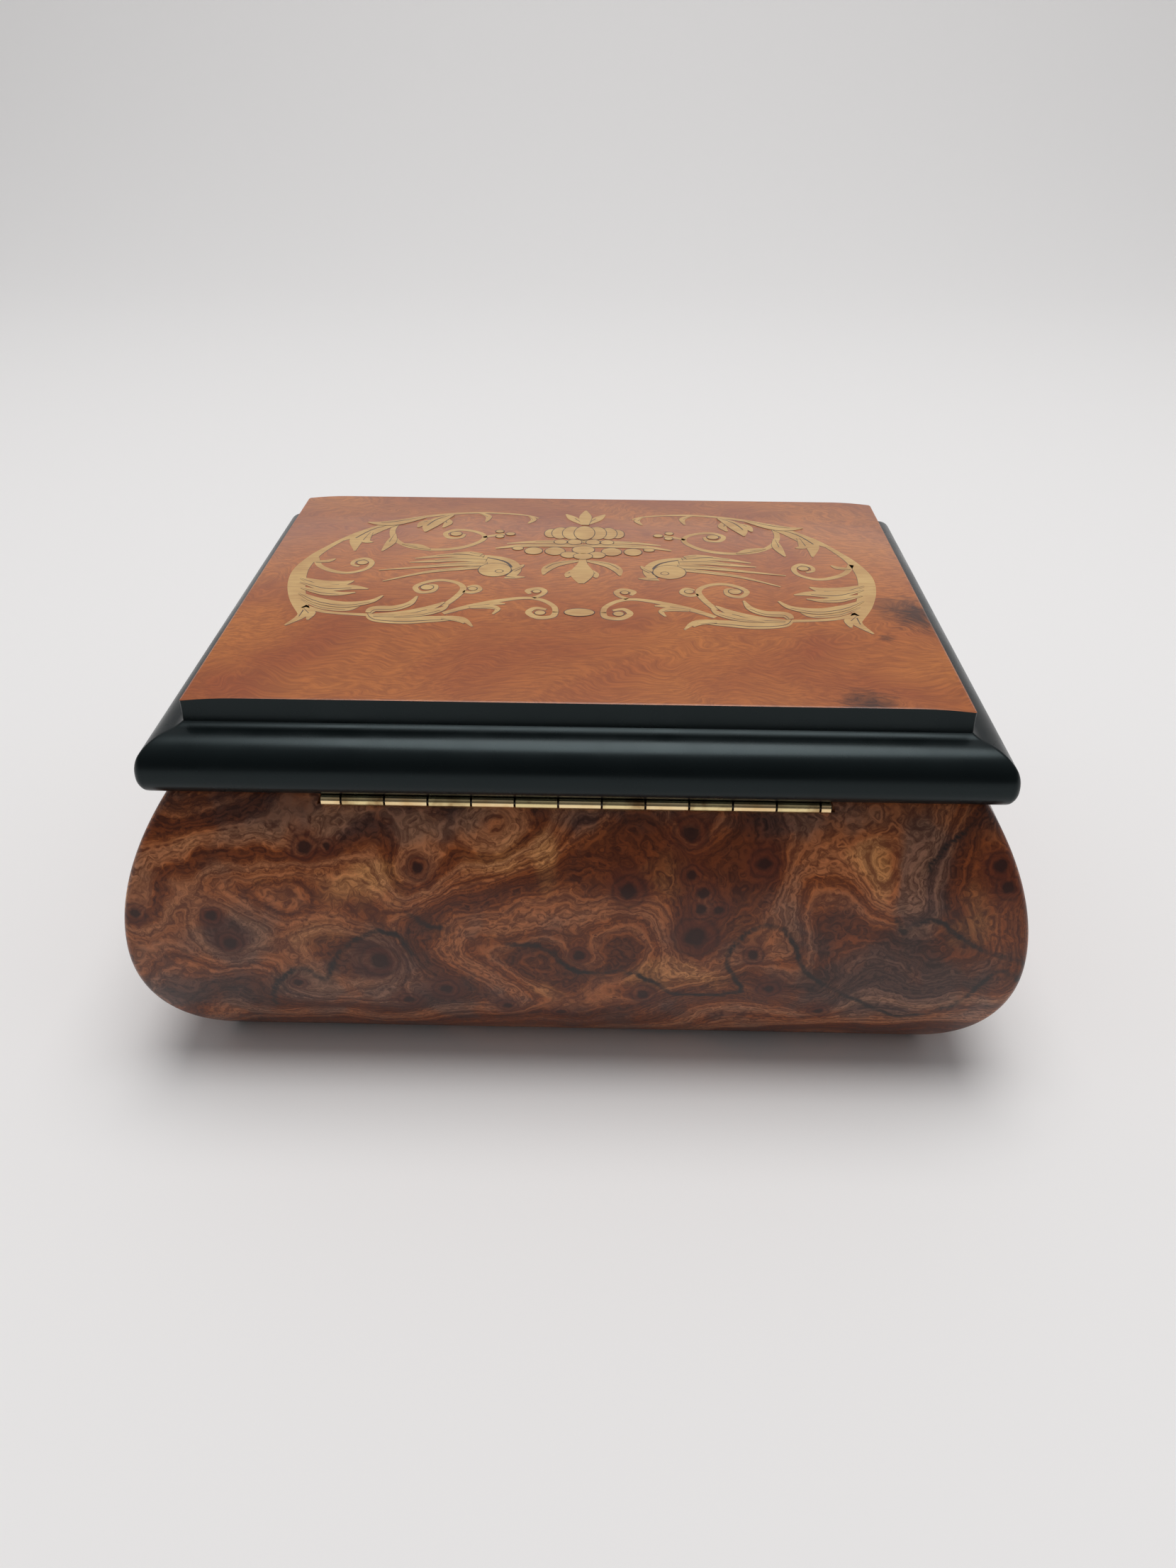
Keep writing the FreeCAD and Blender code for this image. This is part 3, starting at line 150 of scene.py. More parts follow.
def swelling_wall(name, inner_half, turn, cavity, hinged):
    """One wall between its mitres, turned about the box's middle to its side."""
    plain = wall_section()
    arc = [math.radians(45 + 45 * step / CORNER_STEPS) for step in range(CORNER_STEPS)]
    columns = [(-1, angle, plain) for angle in arc]
    columns += [(-1 + 2 * step / SHEET_STEPS, None, plain) for step in range(SHEET_STEPS + 1)]
    columns += [(1, angle, plain) for angle in reversed(arc)]
    if hinged:
        reach = rabbet_half / (inner_half + plain[0][-1][0] - WALL_CORNER)
        flat = [share for share, angle, _ in columns if angle is None]
        ends = [share for share in flat if abs(share) > reach]
        cut = [-reach] + [share for share in flat if abs(share) < reach] + [reach]
        left = [(share, None, plain) for share in ends if share < 0] + [(-reach, None, plain)]
        right = [(reach, None, plain)] + [(share, None, plain) for share in ends if share > 0]
        middle = [(share, None, rabbeted(*plain)) for share in cut]
        columns = columns[:CORNER_STEPS] + left + middle + right + columns[-CORNER_STEPS:]
    points = []
    sheet = []
    skin = len(plain[0])
    for side, angle, (outside, inside) in columns:
        for row, (offset, height, run) in enumerate(outside + inside):
            along = inner_half + offset - WALL_CORNER
            out = offset
            if angle is not None and row < skin:
                along += WALL_CORNER * math.cos(angle)
                out -= WALL_CORNER * (1 - math.sin(angle))
            elif angle is not None:
                along += WALL_CORNER * math.cos(angle) / math.cos(arc[0])
            points.append((side * along, cavity + out, height))
            sheet.append((side * along / MM, run / MM))
    rows = skin + len(plain[1])
    faces = [tuple(range(rows)), tuple(reversed(range(len(points) - rows, len(points))))]
    for column in range(len(columns) - 1):
        for row in range(rows):
            here, there = column * rows, (column + 1) * rows
            after = (row + 1) % rows
            faces.append((here + row, there + row, there + after, here + after))
    wall = piece(name, points, faces)
    for number, face in enumerate(wall.data.polygons[2:]):
        face.material_index = 0 if number % rows < skin else 1
    wall.data.transform(Matrix.Rotation(turn, 4, "Z"))
    return wall, np.array(sheet)


# The walls' burl veneer, glued on and lacquered: fibres flow round dark eyes, stained behind ink lines.
# Places are along and up the sheet from the wall's widest height, in mm: eyes with a radius, clouds with
# two half widths and a tone (below nought stained, or painted shade in the band under the lid; above pale),
# ink lines as runs of points.
BACK_EYES = [
    (37.6, 17.1, 0.9), (34.5, 17.2, 0.4), (21.9, 14.3, 0.8), (62.1, 6.9, 0.7), (49.1, 2.0, 0.9),
    (51.4, 6.6, 0.7), (27.9, -0.7, 1.5), (40.3, -5.5, 0.6), (24.5, -9.4, 0.8), (18.7, -6.4, 1.0),
    (9.9, -10.6, 0.8), (-0.7, 1.0, 0.7), (-7.6, 11.5, 1.2), (-16.3, 13.9, 0.7), (-18.0, 11.4, 0.8),
    (-17.9, 9.0, 0.7), (-20.3, 8.8, 0.6), (-17.2, 4.5, 1.7), (-16.1, 19.9, 1.2), (-26.4, 15.8, 1.0),
    (-25.6, 1.6, 0.7), (-10.1, -6.7, 0.9), (-28.3, -5.0, 0.8), (-36.3, -10.5, 0.7), (-58.9, 16.1, 1.0),
    (-60.2, 13.0, 0.9), (2.0, -12.5, 0.6),
]
BACK_CLOUDS_AND_SHADE = [
    (49.5, 3.0, 6.0, 4.5, -0.8), (28.0, -0.5, 6.0, 3.6, -0.9), (39.0, -7.0, 5.0, 4.0, -0.7),
    (42.0, 22.0, 16.0, 4.0, -0.4), (20.0, 21.0, 9.0, 4.0, -0.7), (-46.0, -4.0, 15.0, 7.5, -0.9),
    (-48.5, 14.0, 3.8, 10.0, -1.2), (-33.0, 22.0, 9.0, 3.5, -0.6), (-30.0, 8.0, 5.0, 6.0, -0.3),
    (18.0, -8.0, 9.0, 4.0, -0.5), (56.0, -8.0, 8.0, 6.0, -0.4), (28.0, 12.0, 7.0, 4.0, 0.8),
    (37.0, 3.5, 5.0, 3.5, 0.6), (11.5, 17.0, 5.0, 5.0, 0.9), (4.0, 16.0, 1.8, 5.0, 0.8),
    (-55.5, 8.0, 4.5, 7.0, 0.6), (-14.0, -3.0, 9.0, 4.0, 0.7), (5.0, -6.0, 12.0, 4.0, 0.4),
    (-41.5, 17.0, 3.4, 3.4, 1.0), (-43.0, 12.5, 2.0, 3.6, 0.9), (-12.0, 14.0, 6.0, 5.0, 0.4),
    # The band at (-5, 23) is painted shade along the top, where the lid's overhang shades the wall; the
    # wide band at (0, -15) darkens the wall along its foot.
    (0.0, -15.0, 62.0, 6.0, -0.15), (-5.0, 23.0, 20.0, 3.0, -0.5), (40.0, -9.0, 26.0, 9.0, -0.3),
    (0.0, -8.0, 30.0, 6.0, -0.2),
]
BACK_INK = [
    [(9.5, 2.7), (6.5, 2.7), (3.4, 1.5), (0.9, -1.3), (-2.5, -2.3), (-8.8, -2.1), (-15.5, -6.8),
     (-24.1, -5.4), (-21.9, -0.2), (-24.7, 5.8), (-30.0, 5.4), (-33.3, -1.2), (-41.4, -7.2), (-48.3, -11.6),
     (-55.1, -8.4), (-60.3, -0.8), (-64.5, -2.5)],
    [(-45.3, 8.0), (-46.4, 6.0), (-50.2, 7.9), (-56.4, 3.9), (-64.5, 0.8)],
    [(45.1, -11.6), (43.5, -5.7), (39.5, -2.3), (36.3, -4.7), (33.9, 0.2), (29.7, 3.8), (25.4, 4.1),
     (23.2, 0.5)],
    [(-54.1, 21.1), (-51.1, 18.4), (-49.1, 15.8)],
    [(23.5, 7.4), (20.5, 5.6), (18.5, 5.0)],
]
EYE_RISE = 5.0
EYE_SPREAD, EYE_MARGIN = 2.7, 0.6
EYE_EDGE = 0.55
FLOW_RISE, FLOW_PITCH = 22, 24
CLOUD_RISE = 1.1
RING_SLOPE = (0.2, 0.5, 0)
RIPPLE, RIPPLE_PITCH = 1.2, 1.6
DRIFT, DRIFT_PITCH = 9, 13
FIBRE_PITCH = 0.5  # real fibres are finer; these are as coarse as they need to be to show
FIBRE_BREAKS, BREAK_PITCH = 6, 2.2
FIBRE_SHADE = (0.45, 0.35, 0.33)
BAND_PITCH = 4.5
BAND_SHADE = (0.36, 0.28, 0.26)
ZONE_PITCH, ZONE_SPREAD = 7, 2.2
INK_JITTER = 0.15
INK_FRAY, FRAY_PITCH = 0.6, 0.9
INK_PATCH = 5
FAR_FROM_INK = 50.0
SPAN_STEPS = 7
VENEER_LOW, VENEER_HIGH = -26, 24
CLUSTER_SPACING, CLUSTER_WIDE, CLUSTER_HIGH = 8, 6, 5
CLUSTER_EYES = (2, 5)
EYE_RADII = (0.5, 1.5)
CLOUD_WIDE, CLOUD_HIGH = (4, 13), (3, 7)
CLOUD_STAIN, CLOUD_PALE = -0.9, 0.8
INK_LINES, INK_STEPS, INK_STRIDE = 3, 9, 5
INK_HEADING, INK_TURN = 0.6, 0.8
SHEET_SPACING = 100
STAINED_GRAIN = (22, 22, 0.9)


def smooth_run(spots):
    """Points along a smooth curve through a run of spots."""
    knots = np.array([spots[0], *spots, spots[-1]])
    run = []
    for before, start, stop, after in zip(knots, knots[1:], knots[2:], knots[3:]):
        for step in range(SPAN_STEPS):
            share = step / SPAN_STEPS
            bend = (2 * before - 5 * start + 4 * stop - after) * share ** 2
            twist = (3 * start - before - 3 * stop + after) * share ** 3
            run.append((2 * start + (stop - before) * share + bend + twist) / 2)
    return np.array(run + [knots[-1]])


def drawn_figure(seed, half_length):
    """Eyes in loose clusters, clouds and wandering ink lines for a sheet of veneer, from a fixed seed."""
    chance = random.Random(seed)
    eyes = []
    clouds = []
    for _ in range(round(half_length / CLUSTER_SPACING)):
        along = chance.uniform(-half_length, half_length)
        up = chance.uniform(VENEER_LOW / 2, VENEER_HIGH)
        for _ in range(chance.randint(*CLUSTER_EYES)):
            place = along + chance.gauss(0, CLUSTER_WIDE), up + chance.gauss(0, CLUSTER_HIGH)
            eyes.append((*place, chance.uniform(*EYE_RADII)))
        for strength in (CLOUD_STAIN, CLOUD_PALE, chance.uniform(CLOUD_STAIN, -CLOUD_STAIN)):
            place = chance.uniform(-half_length, half_length), chance.uniform(VENEER_LOW, VENEER_HIGH)
            clouds.append((*place, chance.uniform(*CLOUD_WIDE), chance.uniform(*CLOUD_HIGH), strength))
    ink = []
    for _ in range(INK_LINES):
        along = chance.uniform(-half_length, half_length / 2)
        up = chance.uniform(VENEER_LOW / 2, VENEER_HIGH / 2)
        line = [(along, up)]
        heading = chance.uniform(-INK_HEADING, INK_HEADING)
        for _ in range(INK_STEPS):
            heading += chance.gauss(0, INK_TURN)
            along += INK_STRIDE * math.cos(heading)
            up += INK_STRIDE * math.sin(heading)
            line.append((along, up))
        ink.append(line)
    return eyes, clouds, ink


def mark_figure(mesh, sheet, clouds, ink, layer):
    """Store on each point its place on the sheet, the clouds' tone and swell, and the gap to the ink."""
    chance = np.random.default_rng(layer)
    tone = np.zeros(len(sheet))
    swell = np.zeros(len(sheet))
    for along, up, wide, high, strength in clouds:
        reach = ((sheet[:, 0] - along) / wide) ** 2 + ((sheet[:, 1] - up) / high) ** 2
        tone += strength * np.exp(-reach ** 1.5)
        swell += abs(strength) * min(wide, high) * np.exp(-reach / 2)
    near_ink = np.full(len(sheet), FAR_FROM_INK)
    for line in ink:
        run = smooth_run(line)
        run += chance.normal(scale=INK_JITTER, size=run.shape)
        for start, stop in zip(run[:-1], run[1:]):
            share = np.clip((sheet - start) @ (stop - start) / ((stop - start) @ (stop - start)), 0, 1)
            near_ink = np.minimum(near_ink, np.hypot(*(sheet - start - share[:, None] * (stop - start)).T))
    spots = np.column_stack([sheet, np.full(len(sheet), layer)])
    place = mesh.attributes.new("sheet", "FLOAT_VECTOR", "POINT")
    place.data.foreach_set("vector", spots.astype("f").ravel())
    for name, values in (("tone", tone), ("swell", swell), ("ink", near_ink)):
        mark = mesh.attributes.new(name, "FLOAT", "POINT")
        mark.data.foreach_set("value", values.astype("f"))


def burl_veneer(name, eyes, layer):
    """Satin lacquered burl: stained and pale clouds, and any painted shade in the tone, short fibres that
    flow round dark eyes, ink lines.
    """
    material, tree, shader = new_material(name)
    sheet = add(tree, "Attribute", {}, attribute_name="sheet").outputs["Vector"]
    tone = add(tree, "Attribute", {}, attribute_name="tone").outputs["Fac"]
    swell = add(tree, "Attribute", {}, attribute_name="swell").outputs["Fac"]
    ink = add(tree, "Attribute", {}, attribute_name="ink").outputs["Fac"]
    ripple = add(tree, "TexNoise", {"Vector": sheet, "Scale": 1 / RIPPLE_PITCH, "Detail": 3.0})
    curly = add(tree, "VectorMath", {0: ripple.outputs["Color"], 1: (RIPPLE, RIPPLE, 0), 2: sheet},
                operation="MULTIPLY_ADD")
    drift = add(tree, "TexNoise", {"Vector": curly, "Scale": 1 / DRIFT_PITCH, "Detail": 2.0})
    bent = add(tree, "VectorMath", {0: drift.outputs["Color"], 1: (DRIFT, DRIFT, 0), 2: curly},
               operation="MULTIPLY_ADD")
    slope = add(tree, "VectorMath", {0: bent, 1: RING_SLOPE}, operation="DOT_PRODUCT").outputs["Value"]
    lifted = add(tree, "Math", {0: swell, 1: CLOUD_RISE, 2: slope}, operation="MULTIPLY_ADD")
    flow = add(tree, "TexNoise", {"Vector": bent, "Scale": 1 / FLOW_PITCH, "Detail": 1.0})
    height = add(tree, "Math", {0: flow, 1: FLOW_RISE, 2: lifted}, operation="MULTIPLY_ADD")
    nearest = 0.0
    for along, up, radius in eyes:
        middle = (along + RIPPLE / 2, up + RIPPLE / 2, layer)
        gap = add(tree, "VectorMath", {0: curly, 1: middle}, operation="DISTANCE")
        fade = add(tree, "Math", {0: gap.outputs["Value"], 1: -1 / (EYE_SPREAD * radius + EYE_MARGIN)},
                   operation="MULTIPLY")
        near = add(tree, "Math", {0: fade}, operation="EXPONENT")
        height = add(tree, "Math", {0: near, 1: EYE_RISE * radius, 2: height}, operation="MULTIPLY_ADD")
        nearest = add(tree, "Math", {0: nearest, 1: near}, operation="MAXIMUM")
    broken = add(tree, "TexNoise", {"Vector": curly, "Scale": 1 / BREAK_PITCH, "Detail": 1.0})
    dash = add(tree, "CombineXYZ", {"X": height, "Y": broken})
    dash_place = add(tree, "VectorMath", {0: dash, 1: (1 / FIBRE_PITCH, FIBRE_BREAKS, 0)},
                     operation="MULTIPLY")
    fibre = add(tree, "TexNoise", {"Vector": dash_place, "Scale": 1.0, "Detail": 3.0, "Roughness": 0.65})
    band = add(tree, "TexNoise", {"W": height, "Scale": 1 / BAND_PITCH, "Detail": 2.0},
               noise_dimensions="1D")
    zone = add(tree, "TexNoise", {"Vector": bent, "Scale": 1 / ZONE_PITCH, "Detail": 4.0})
    zone_tone = add(tree, "Math", {0: zone, 1: ZONE_SPREAD, 2: tone}, operation="MULTIPLY_ADD")
    clear = add(tree, "MapRange", {"Value": zone_tone, "From Min": 0.35, "From Max": 1.15},
                interpolation_type="SMOOTHSTEP")
    pale = add(tree, "MapRange", {"Value": zone_tone, "From Min": 1.25, "From Max": 2.2},
               interpolation_type="SMOOTHSTEP")
    brown = add(tree, "MixRGB", {"Fac": clear, "Color1": linear("#664539"), "Color2": linear("#924D22")})
    ground = add(tree, "MixRGB", {"Fac": pale, "Color1": brown, "Color2": linear("#BA7D48")})
    dim = add(tree, "VectorMath", {0: ground, 1: BAND_SHADE}, operation="MULTIPLY")
    band_lit = add(tree, "MapRange", {"Value": band, "From Min": 0.48, "From Max": 0.66, "To Max": 0.42})
    bright = add(tree, "MixRGB", {"Fac": band_lit, "Color1": ground, "Color2": linear("#AE7C5A")})
    band_share = add(tree, "MapRange", {"Value": band, "From Min": 0.38, "From Max": 0.58, "To Min": 0.9,
                                        "To Max": 0.0}, interpolation_type="SMOOTHSTEP")
    banded = add(tree, "MixRGB", {"Fac": band_share, "Color1": bright, "Color2": dim})
    deep = add(tree, "VectorMath", {0: banded, 1: FIBRE_SHADE}, operation="MULTIPLY")
    dark_share = add(tree, "MapRange", {"Value": fibre, "From Min": 0.37, "From Max": 0.54, "To Min": 1.0,
                                        "To Max": 0.0})
    fibred = add(tree, "MixRGB", {"Fac": dark_share, "Color1": banded, "Color2": deep})
    lit = add(tree, "MapRange", {"Value": fibre, "From Min": 0.5, "From Max": 0.68, "To Min": 1.0,
                                 "To Max": 1.65})
    shaded = add(tree, "VectorMath", {0: fibred, "Scale": lit}, operation="SCALE")
    halo = add(tree, "MapRange", {"Value": nearest, "From Min": 0.25, "From Max": 0.62, "To Max": 0.65},
               interpolation_type="SMOOTHSTEP")
    haloed = add(tree, "MixRGB", {"Fac": halo, "Color1": shaded, "Color2": linear("#5A2616")})
    off_edge = add(tree, "Math", {0: nearest, 1: EYE_EDGE}, operation="SUBTRACT")
    edge_gap = add(tree, "Math", {0: off_edge}, operation="ABSOLUTE")
    edge = add(tree, "MapRange", {"Value": edge_gap, "From Max": 0.06, "To Min": 0.5, "To Max": 0.0})
    core = add(tree, "MapRange", {"Value": nearest, "From Min": 0.66, "From Max": 0.8, "To Max": 0.9})
    darkest = add(tree, "Math", {0: edge, 1: core}, operation="MAXIMUM")
    eyed = add(tree, "MixRGB", {"Fac": darkest, "Color1": haloed, "Color2": linear("#2A100B")})
    patchy = add(tree, "TexNoise", {"Vector": sheet, "Scale": 1 / INK_PATCH, "Detail": 3.0})
    share = add(tree, "MapRange", {"Value": patchy, "From Min": 0.32, "From Max": 0.56, "To Min": 0.4})
    ragged = add(tree, "TexNoise", {"Vector": sheet, "Scale": 1 / FRAY_PITCH, "Detail": 2.0})
    frayed = add(tree, "Math", {0: ragged, 1: INK_FRAY, 2: ink}, operation="MULTIPLY_ADD")
    line = add(tree, "MapRange", {"Value": frayed, "From Min": 0.48, "From Max": 0.86, "To Min": 0.95,
                                  "To Max": 0.0})
    ink_share = add(tree, "Math", {0: line, 1: share}, operation="MULTIPLY")
    inked = add(tree, "MixRGB", {"Fac": ink_share, "Color1": eyed, "Color2": linear("#1C1717")})
    smoke = add(tree, "MapRange", {"Value": ink, "From Max": 2.4, "To Min": 0.35, "To Max": 0.0})
    smoke_share = add(tree, "Math", {0: smoke, 1: share}, operation="MULTIPLY")
    stained = add(tree, "MixRGB", {"Fac": smoke_share, "Color1": inked, "Color2": linear("#33241F")})
    satin = add(tree, "MapRange", {"Value": zone, "From Min": 0.3, "From Max": 0.7, "To Min": 0.37,
                                   "To Max": 0.48})
    pores = add(tree, "Bump", {"Height": fibre, "Strength": 0.12, "Distance": 0.04 * MM})
    wire(tree, shader, {"Base Color": stained, "Roughness": satin, "Normal": pores,
                        "Specular IOR Level": 0.25, "Coat Weight": 0.35, "Coat Roughness": 0.22})
    return material


def stained_wood():
    """The walls' own wood inside and below, stained brown: straight grain, no lacquer."""
    material, tree, shader = new_material("stained_wood")
    place = add(tree, "TexCoord", {}).outputs["Object"]
    along = add(tree, "VectorMath", {0: place, 1: [1 / (size * MM) for size in STAINED_GRAIN]},
                operation="MULTIPLY")
    grain = add(tree, "TexNoise", {"Vector": along, "Scale": 1.0, "Detail": 4.0, "Roughness": 0.6})
    share = add(tree, "MapRange", {"Value": grain, "From Min": 0.3, "From Max": 0.7})
    colour = add(tree, "MixRGB", {"Fac": share, "Color1": linear("#3A2117"), "Color2": linear("#5C3722")})
    bump = add(tree, "Bump", {"Height": grain, "Strength": 0.15, "Distance": 0.05 * MM})
    wire(tree, shader, {"Base Color": colour, "Roughness": 0.62, "Normal": bump})
    return material


inner_wood = stained_wood()
walls = [
    ("back_wall", cavity_x, 0, cavity_y), ("front_wall", cavity_x, math.pi, cavity_y),
    ("left_wall", cavity_y, math.pi / 2, cavity_x), ("right_wall", cavity_y, -math.pi / 2, cavity_x),
]
for number, (name, inner_half, turn, cavity) in enumerate(walls):
    hinged = name == "back_wall"
    wall, sheet = swelling_wall("veneered_" + name, inner_half, turn, cavity, hinged)
    if hinged:
        eyes, clouds, ink = BACK_EYES, BACK_CLOUDS_AND_SHADE, BACK_INK
    else:
        eyes, clouds, ink = drawn_figure(number, (inner_half + wall_depth) / MM)
    layer = SHEET_SPACING * number
    mark_figure(wall.data, sheet, clouds, ink, layer)
    wall.data.materials.append(burl_veneer("burl_veneer_" + name, eyes, layer))
    wall.data.materials.append(inner_wood)
    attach(wall, "case")
    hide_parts(name)

# The bottom panel lies in a groove of the walls, and two rails glued inside them carry the clear cover.
# Both are bare limewood board, planed and left without a finish.
LIME_GRAIN = (30, 1.2, 1.2)


def bare_board():
    """Bare limewood: pale, fine and straight in the grain."""
    material, tree, shader = new_material("bare_limewood")
    place = add(tree, "TexCoord", {}).outputs["Object"]
    along = add(tree, "VectorMath", {0: place, 1: [1 / (size * MM) for size in LIME_GRAIN]},
                operation="MULTIPLY")
    grain = add(tree, "TexNoise", {"Vector": along, "Scale": 1.0, "Detail": 4.0, "Distortion": 0.3})
    share = add(tree, "MapRange", {"Value": grain, "From Min": 0.3, "From Max": 0.7})
    colour = add(tree, "MixRGB", {"Fac": share, "Color1": linear("#A98556"), "Color2": linear("#CDB083")})
    bump = add(tree, "Bump", {"Height": grain, "Strength": 0.2, "Distance": 0.05 * MM})
    wire(tree, shader, {"Base Color": colour, "Roughness": 0.68, "Normal": bump})
    return material


def dress(material, *names):
    """Give CAD nodes a material."""
    for name in names:
        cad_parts[name].data.materials.clear()
        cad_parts[name].data.materials.append(material)


dress(bare_board(), "bottom_panel", "cover_rails")

# The movement: a nickel plated bedplate screwed to the bottom panel, with the posts, brackets and bridge
# that carry the train, a brass spring barrel, cylinder, wheels and fan, and a comb and arbors of ground
# steel. Blued screws hold it together, and the winding key below is plated like the bedplate.
TARNISH_PATCH = 2.5 * MM


def metal(name, bright, tarnish, worn, rough, marks):
    """Bare metal: soft clouds of tarnish, and tool marks, given by their sizes, that spread its shine."""
    material, tree, shader = new_material(name)
    place = add(tree, "TexCoord", {}).outputs["Object"]
    cloud = add(tree, "TexNoise", {"Vector": place, "Scale": 1 / TARNISH_PATCH, "Detail": 4.0})
    share = add(tree, "MapRange", {"Value": cloud, "From Min": 0.42, "From Max": 0.7, "To Max": worn})
    colour = add(tree, "MixRGB", {"Fac": share, "Color1": linear(bright), "Color2": linear(tarnish)})
    tooled = add(tree, "VectorMath", {0: place, 1: [1 / (size * MM) for size in marks]},
                 operation="MULTIPLY")
    mark = add(tree, "TexNoise", {"Vector": tooled, "Scale": 1.0, "Detail": 3.0})
    gloss = add(tree, "MapRange", {"Value": mark, "From Min": 0.3, "From Max": 0.7, "To Min": 0.7 * rough,
                                   "To Max": 1.5 * rough})
    relief = add(tree, "Bump", {"Height": mark, "Strength": 0.06, "Distance": 0.01 * MM})
    wire(tree, shader, {"Base Color": colour, "Metallic": 1.0, "Roughness": gloss, "Normal": relief})
    return material


nickel = metal("nickel_plate", "#CFCBC2", "#9C968A", 0.5, 0.28, (6, 0.25, 0.25))
brass = metal("polished_brass", "#FCE2B0", "#D9A868", 0.5, 0.12, (0.3, 4, 4))
steel = metal("ground_steel", "#BCC0C6", "#85878B", 0.5, 0.26, (3, 0.15, 0.15))
blued_steel = metal("blued_steel", "#33406B", "#4A3A4E", 0.6, 0.2, (0.5, 0.5, 0.5))
dress(nickel, "bedplate", "barrel_bridge", "front_post", "rear_post", "comb_base", "governor_bracket",
      "fly_bracket", "winding_key")
dress(brass, "spring_barrel", "barrel_cover", "cylinder", "cylinder_gear", "governor_wheel", "fly_fan")
dress(steel, "comb", "mainspring", "winding_arbor", "cylinder_pins", "cylinder_pinion", "cylinder_arbor",
      "governor_arbor", "governor_pinion", "fly_worm", "stop_rod")
dress(blued_steel, "bedplate_screws", "bridge_screws", "comb_screws")

# The jewel compartment's lining: velvet over thin padded card, glued to the floor, the walls, the partition
# and the lid. Each pad is full in the middle and pulled in round its edges, where the velvet turns under.
PADS = ("floor_pad", "lining_left", "lining_right", "lining_front", "lining_back", "partition",
        "lid_lining")
PAD_CUTS = 16
PAD_CROWD = 3
PAD_EASE = 0.8
PAD_FALL = 0.35
PAD_RIM = 12
BRUSHED_PATCH = 9 * MM
PILE_PITCH = 0.35 * MM  # real pile is finer; this is as coarse as it needs to be to show


def velvet():
    """Burgundy velvet: a dense short pile, brushed this way and that in patches, pale at grazing angles."""
    material, tree, shader = new_material("burgundy_velvet")
    place = add(tree, "TexCoord", {}).outputs["Object"]
    brushed = add(tree, "TexNoise", {"Vector": place, "Scale": 1 / BRUSHED_PATCH, "Detail": 3.0,
                                     "Distortion": 0.8})
    pile = add(tree, "TexNoise", {"Vector": place, "Scale": 1 / PILE_PITCH, "Detail": 2.0})
    both = add(tree, "Math", {0: pile, 1: 0.5, 2: brushed}, operation="MULTIPLY_ADD")
    share = add(tree, "MapRange", {"Value": both, "From Min": 0.45, "From Max": 1.05})
    colour = add(tree, "MixRGB", {"Fac": share, "Color1": linear("#480C17"), "Color2": linear("#701927")})
    bump = add(tree, "Bump", {"Height": pile, "Strength": 0.5, "Distance": 0.12 * MM})
    wire(tree, shader, {"Base Color": colour, "Roughness": 0.9, "Specular IOR Level": 0.1, "Normal": bump,
                        "Sheen Weight": 0.7, "Sheen Roughness": 0.4, "Sheen Tint": linear("#D9808A")})
    return material


def padded_slab(name, node):
    """A closed slab in a node's space, with rounded edges and a low crown."""
    low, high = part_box(node)
    middle, half = (low + high) / 2, (high - low) / 2
    thin = min(range(3), key=lambda axis: half[axis])
    ease = PAD_EASE * half[thin]
    core = [reach - ease for reach in half]
    shape = bmesh.new()
    bmesh.ops.create_cube(shape, size=2)
    bmesh.ops.subdivide_edges(shape, edges=shape.edges[:], cuts=PAD_CUTS, use_grid_fill=True)
    for point in shape.verts:
        share = [math.copysign(1 - (1 - abs(part)) ** PAD_CROWD, part) for part in point.co]
        spot = Vector([part * reach for part, reach in zip(share, half)])
        inner = Vector([max(-reach, min(reach, part)) for part, reach in zip(spot, core)])
        spot = inner + ease * (spot - inner).normalized()
        edge = max(abs(part) for axis, part in enumerate(share) if axis != thin)
        spot[thin] *= 1 - PAD_FALL * edge ** PAD_RIM
        point.co = middle + spot
    mesh = bpy.data.meshes.new(name)
    shape.to_mesh(mesh)
    shape.free()
    mesh.shade_smooth()
    made = bpy.data.objects.new(name, mesh)
    bpy.context.scene.collection.objects.link(made)
    return made


burgundy = velvet()
for node in PADS:
    pad = padded_slab("velvet_" + node, node)
    pad.data.materials.append(burgundy)
    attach(pad, "lid" if node == "lid_lining" else "case")
    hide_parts(node)

# The movement's cover: a loose sheet of clear acrylic that lies on the two rails, so that the cylinder and
# the comb are seen at play.
SCRATCH_SIZES = (12, 0.3, 4)


def clear_acrylic():
    """Polished acrylic with a few hairline scratches."""
    material, tree, shader = new_material("clear_acrylic")
    place = add(tree, "TexCoord", {}).outputs["Object"]
    drawn = add(tree, "VectorMath", {0: place, 1: [1 / (size * MM) for size in SCRATCH_SIZES]},
                operation="MULTIPLY")
    hair = add(tree, "TexNoise", {"Vector": drawn, "Scale": 1.0, "Detail": 2.0})
    haze = add(tree, "MapRange", {"Value": hair, "From Min": 0.6, "From Max": 0.8, "To Min": 0.02,
                                  "To Max": 0.14})
    wire(tree, shader, {"Base Color": linear("#F6FBFA"), "Roughness": haze, "IOR": 1.49,
                        "Transmission Weight": 1.0})
    return material


dress(clear_acrylic(), "cover_pane")

# The piano hinge: rolled brass knuckles on a steel pin, polished on the body leaf and rubbed on the lid
# leaf. Both leaves lie in rabbets and are held by small brass screws.
rubbed_brass = metal("rubbed_brass", "#F0DBA4", "#8A5A30", 0.8, 0.16, (0.5, 0.12, 0.12))
dress(brass, "hinge_body_leaf", "hinge_body_screws", "hinge_lid_screws")
dress(rubbed_brass, "hinge_lid_leaf")
dress(metal("dark_steel", "#3A3838", "#1E1B1A", 0.8, 0.4, (3, 0.15, 0.15)), "hinge_pin")

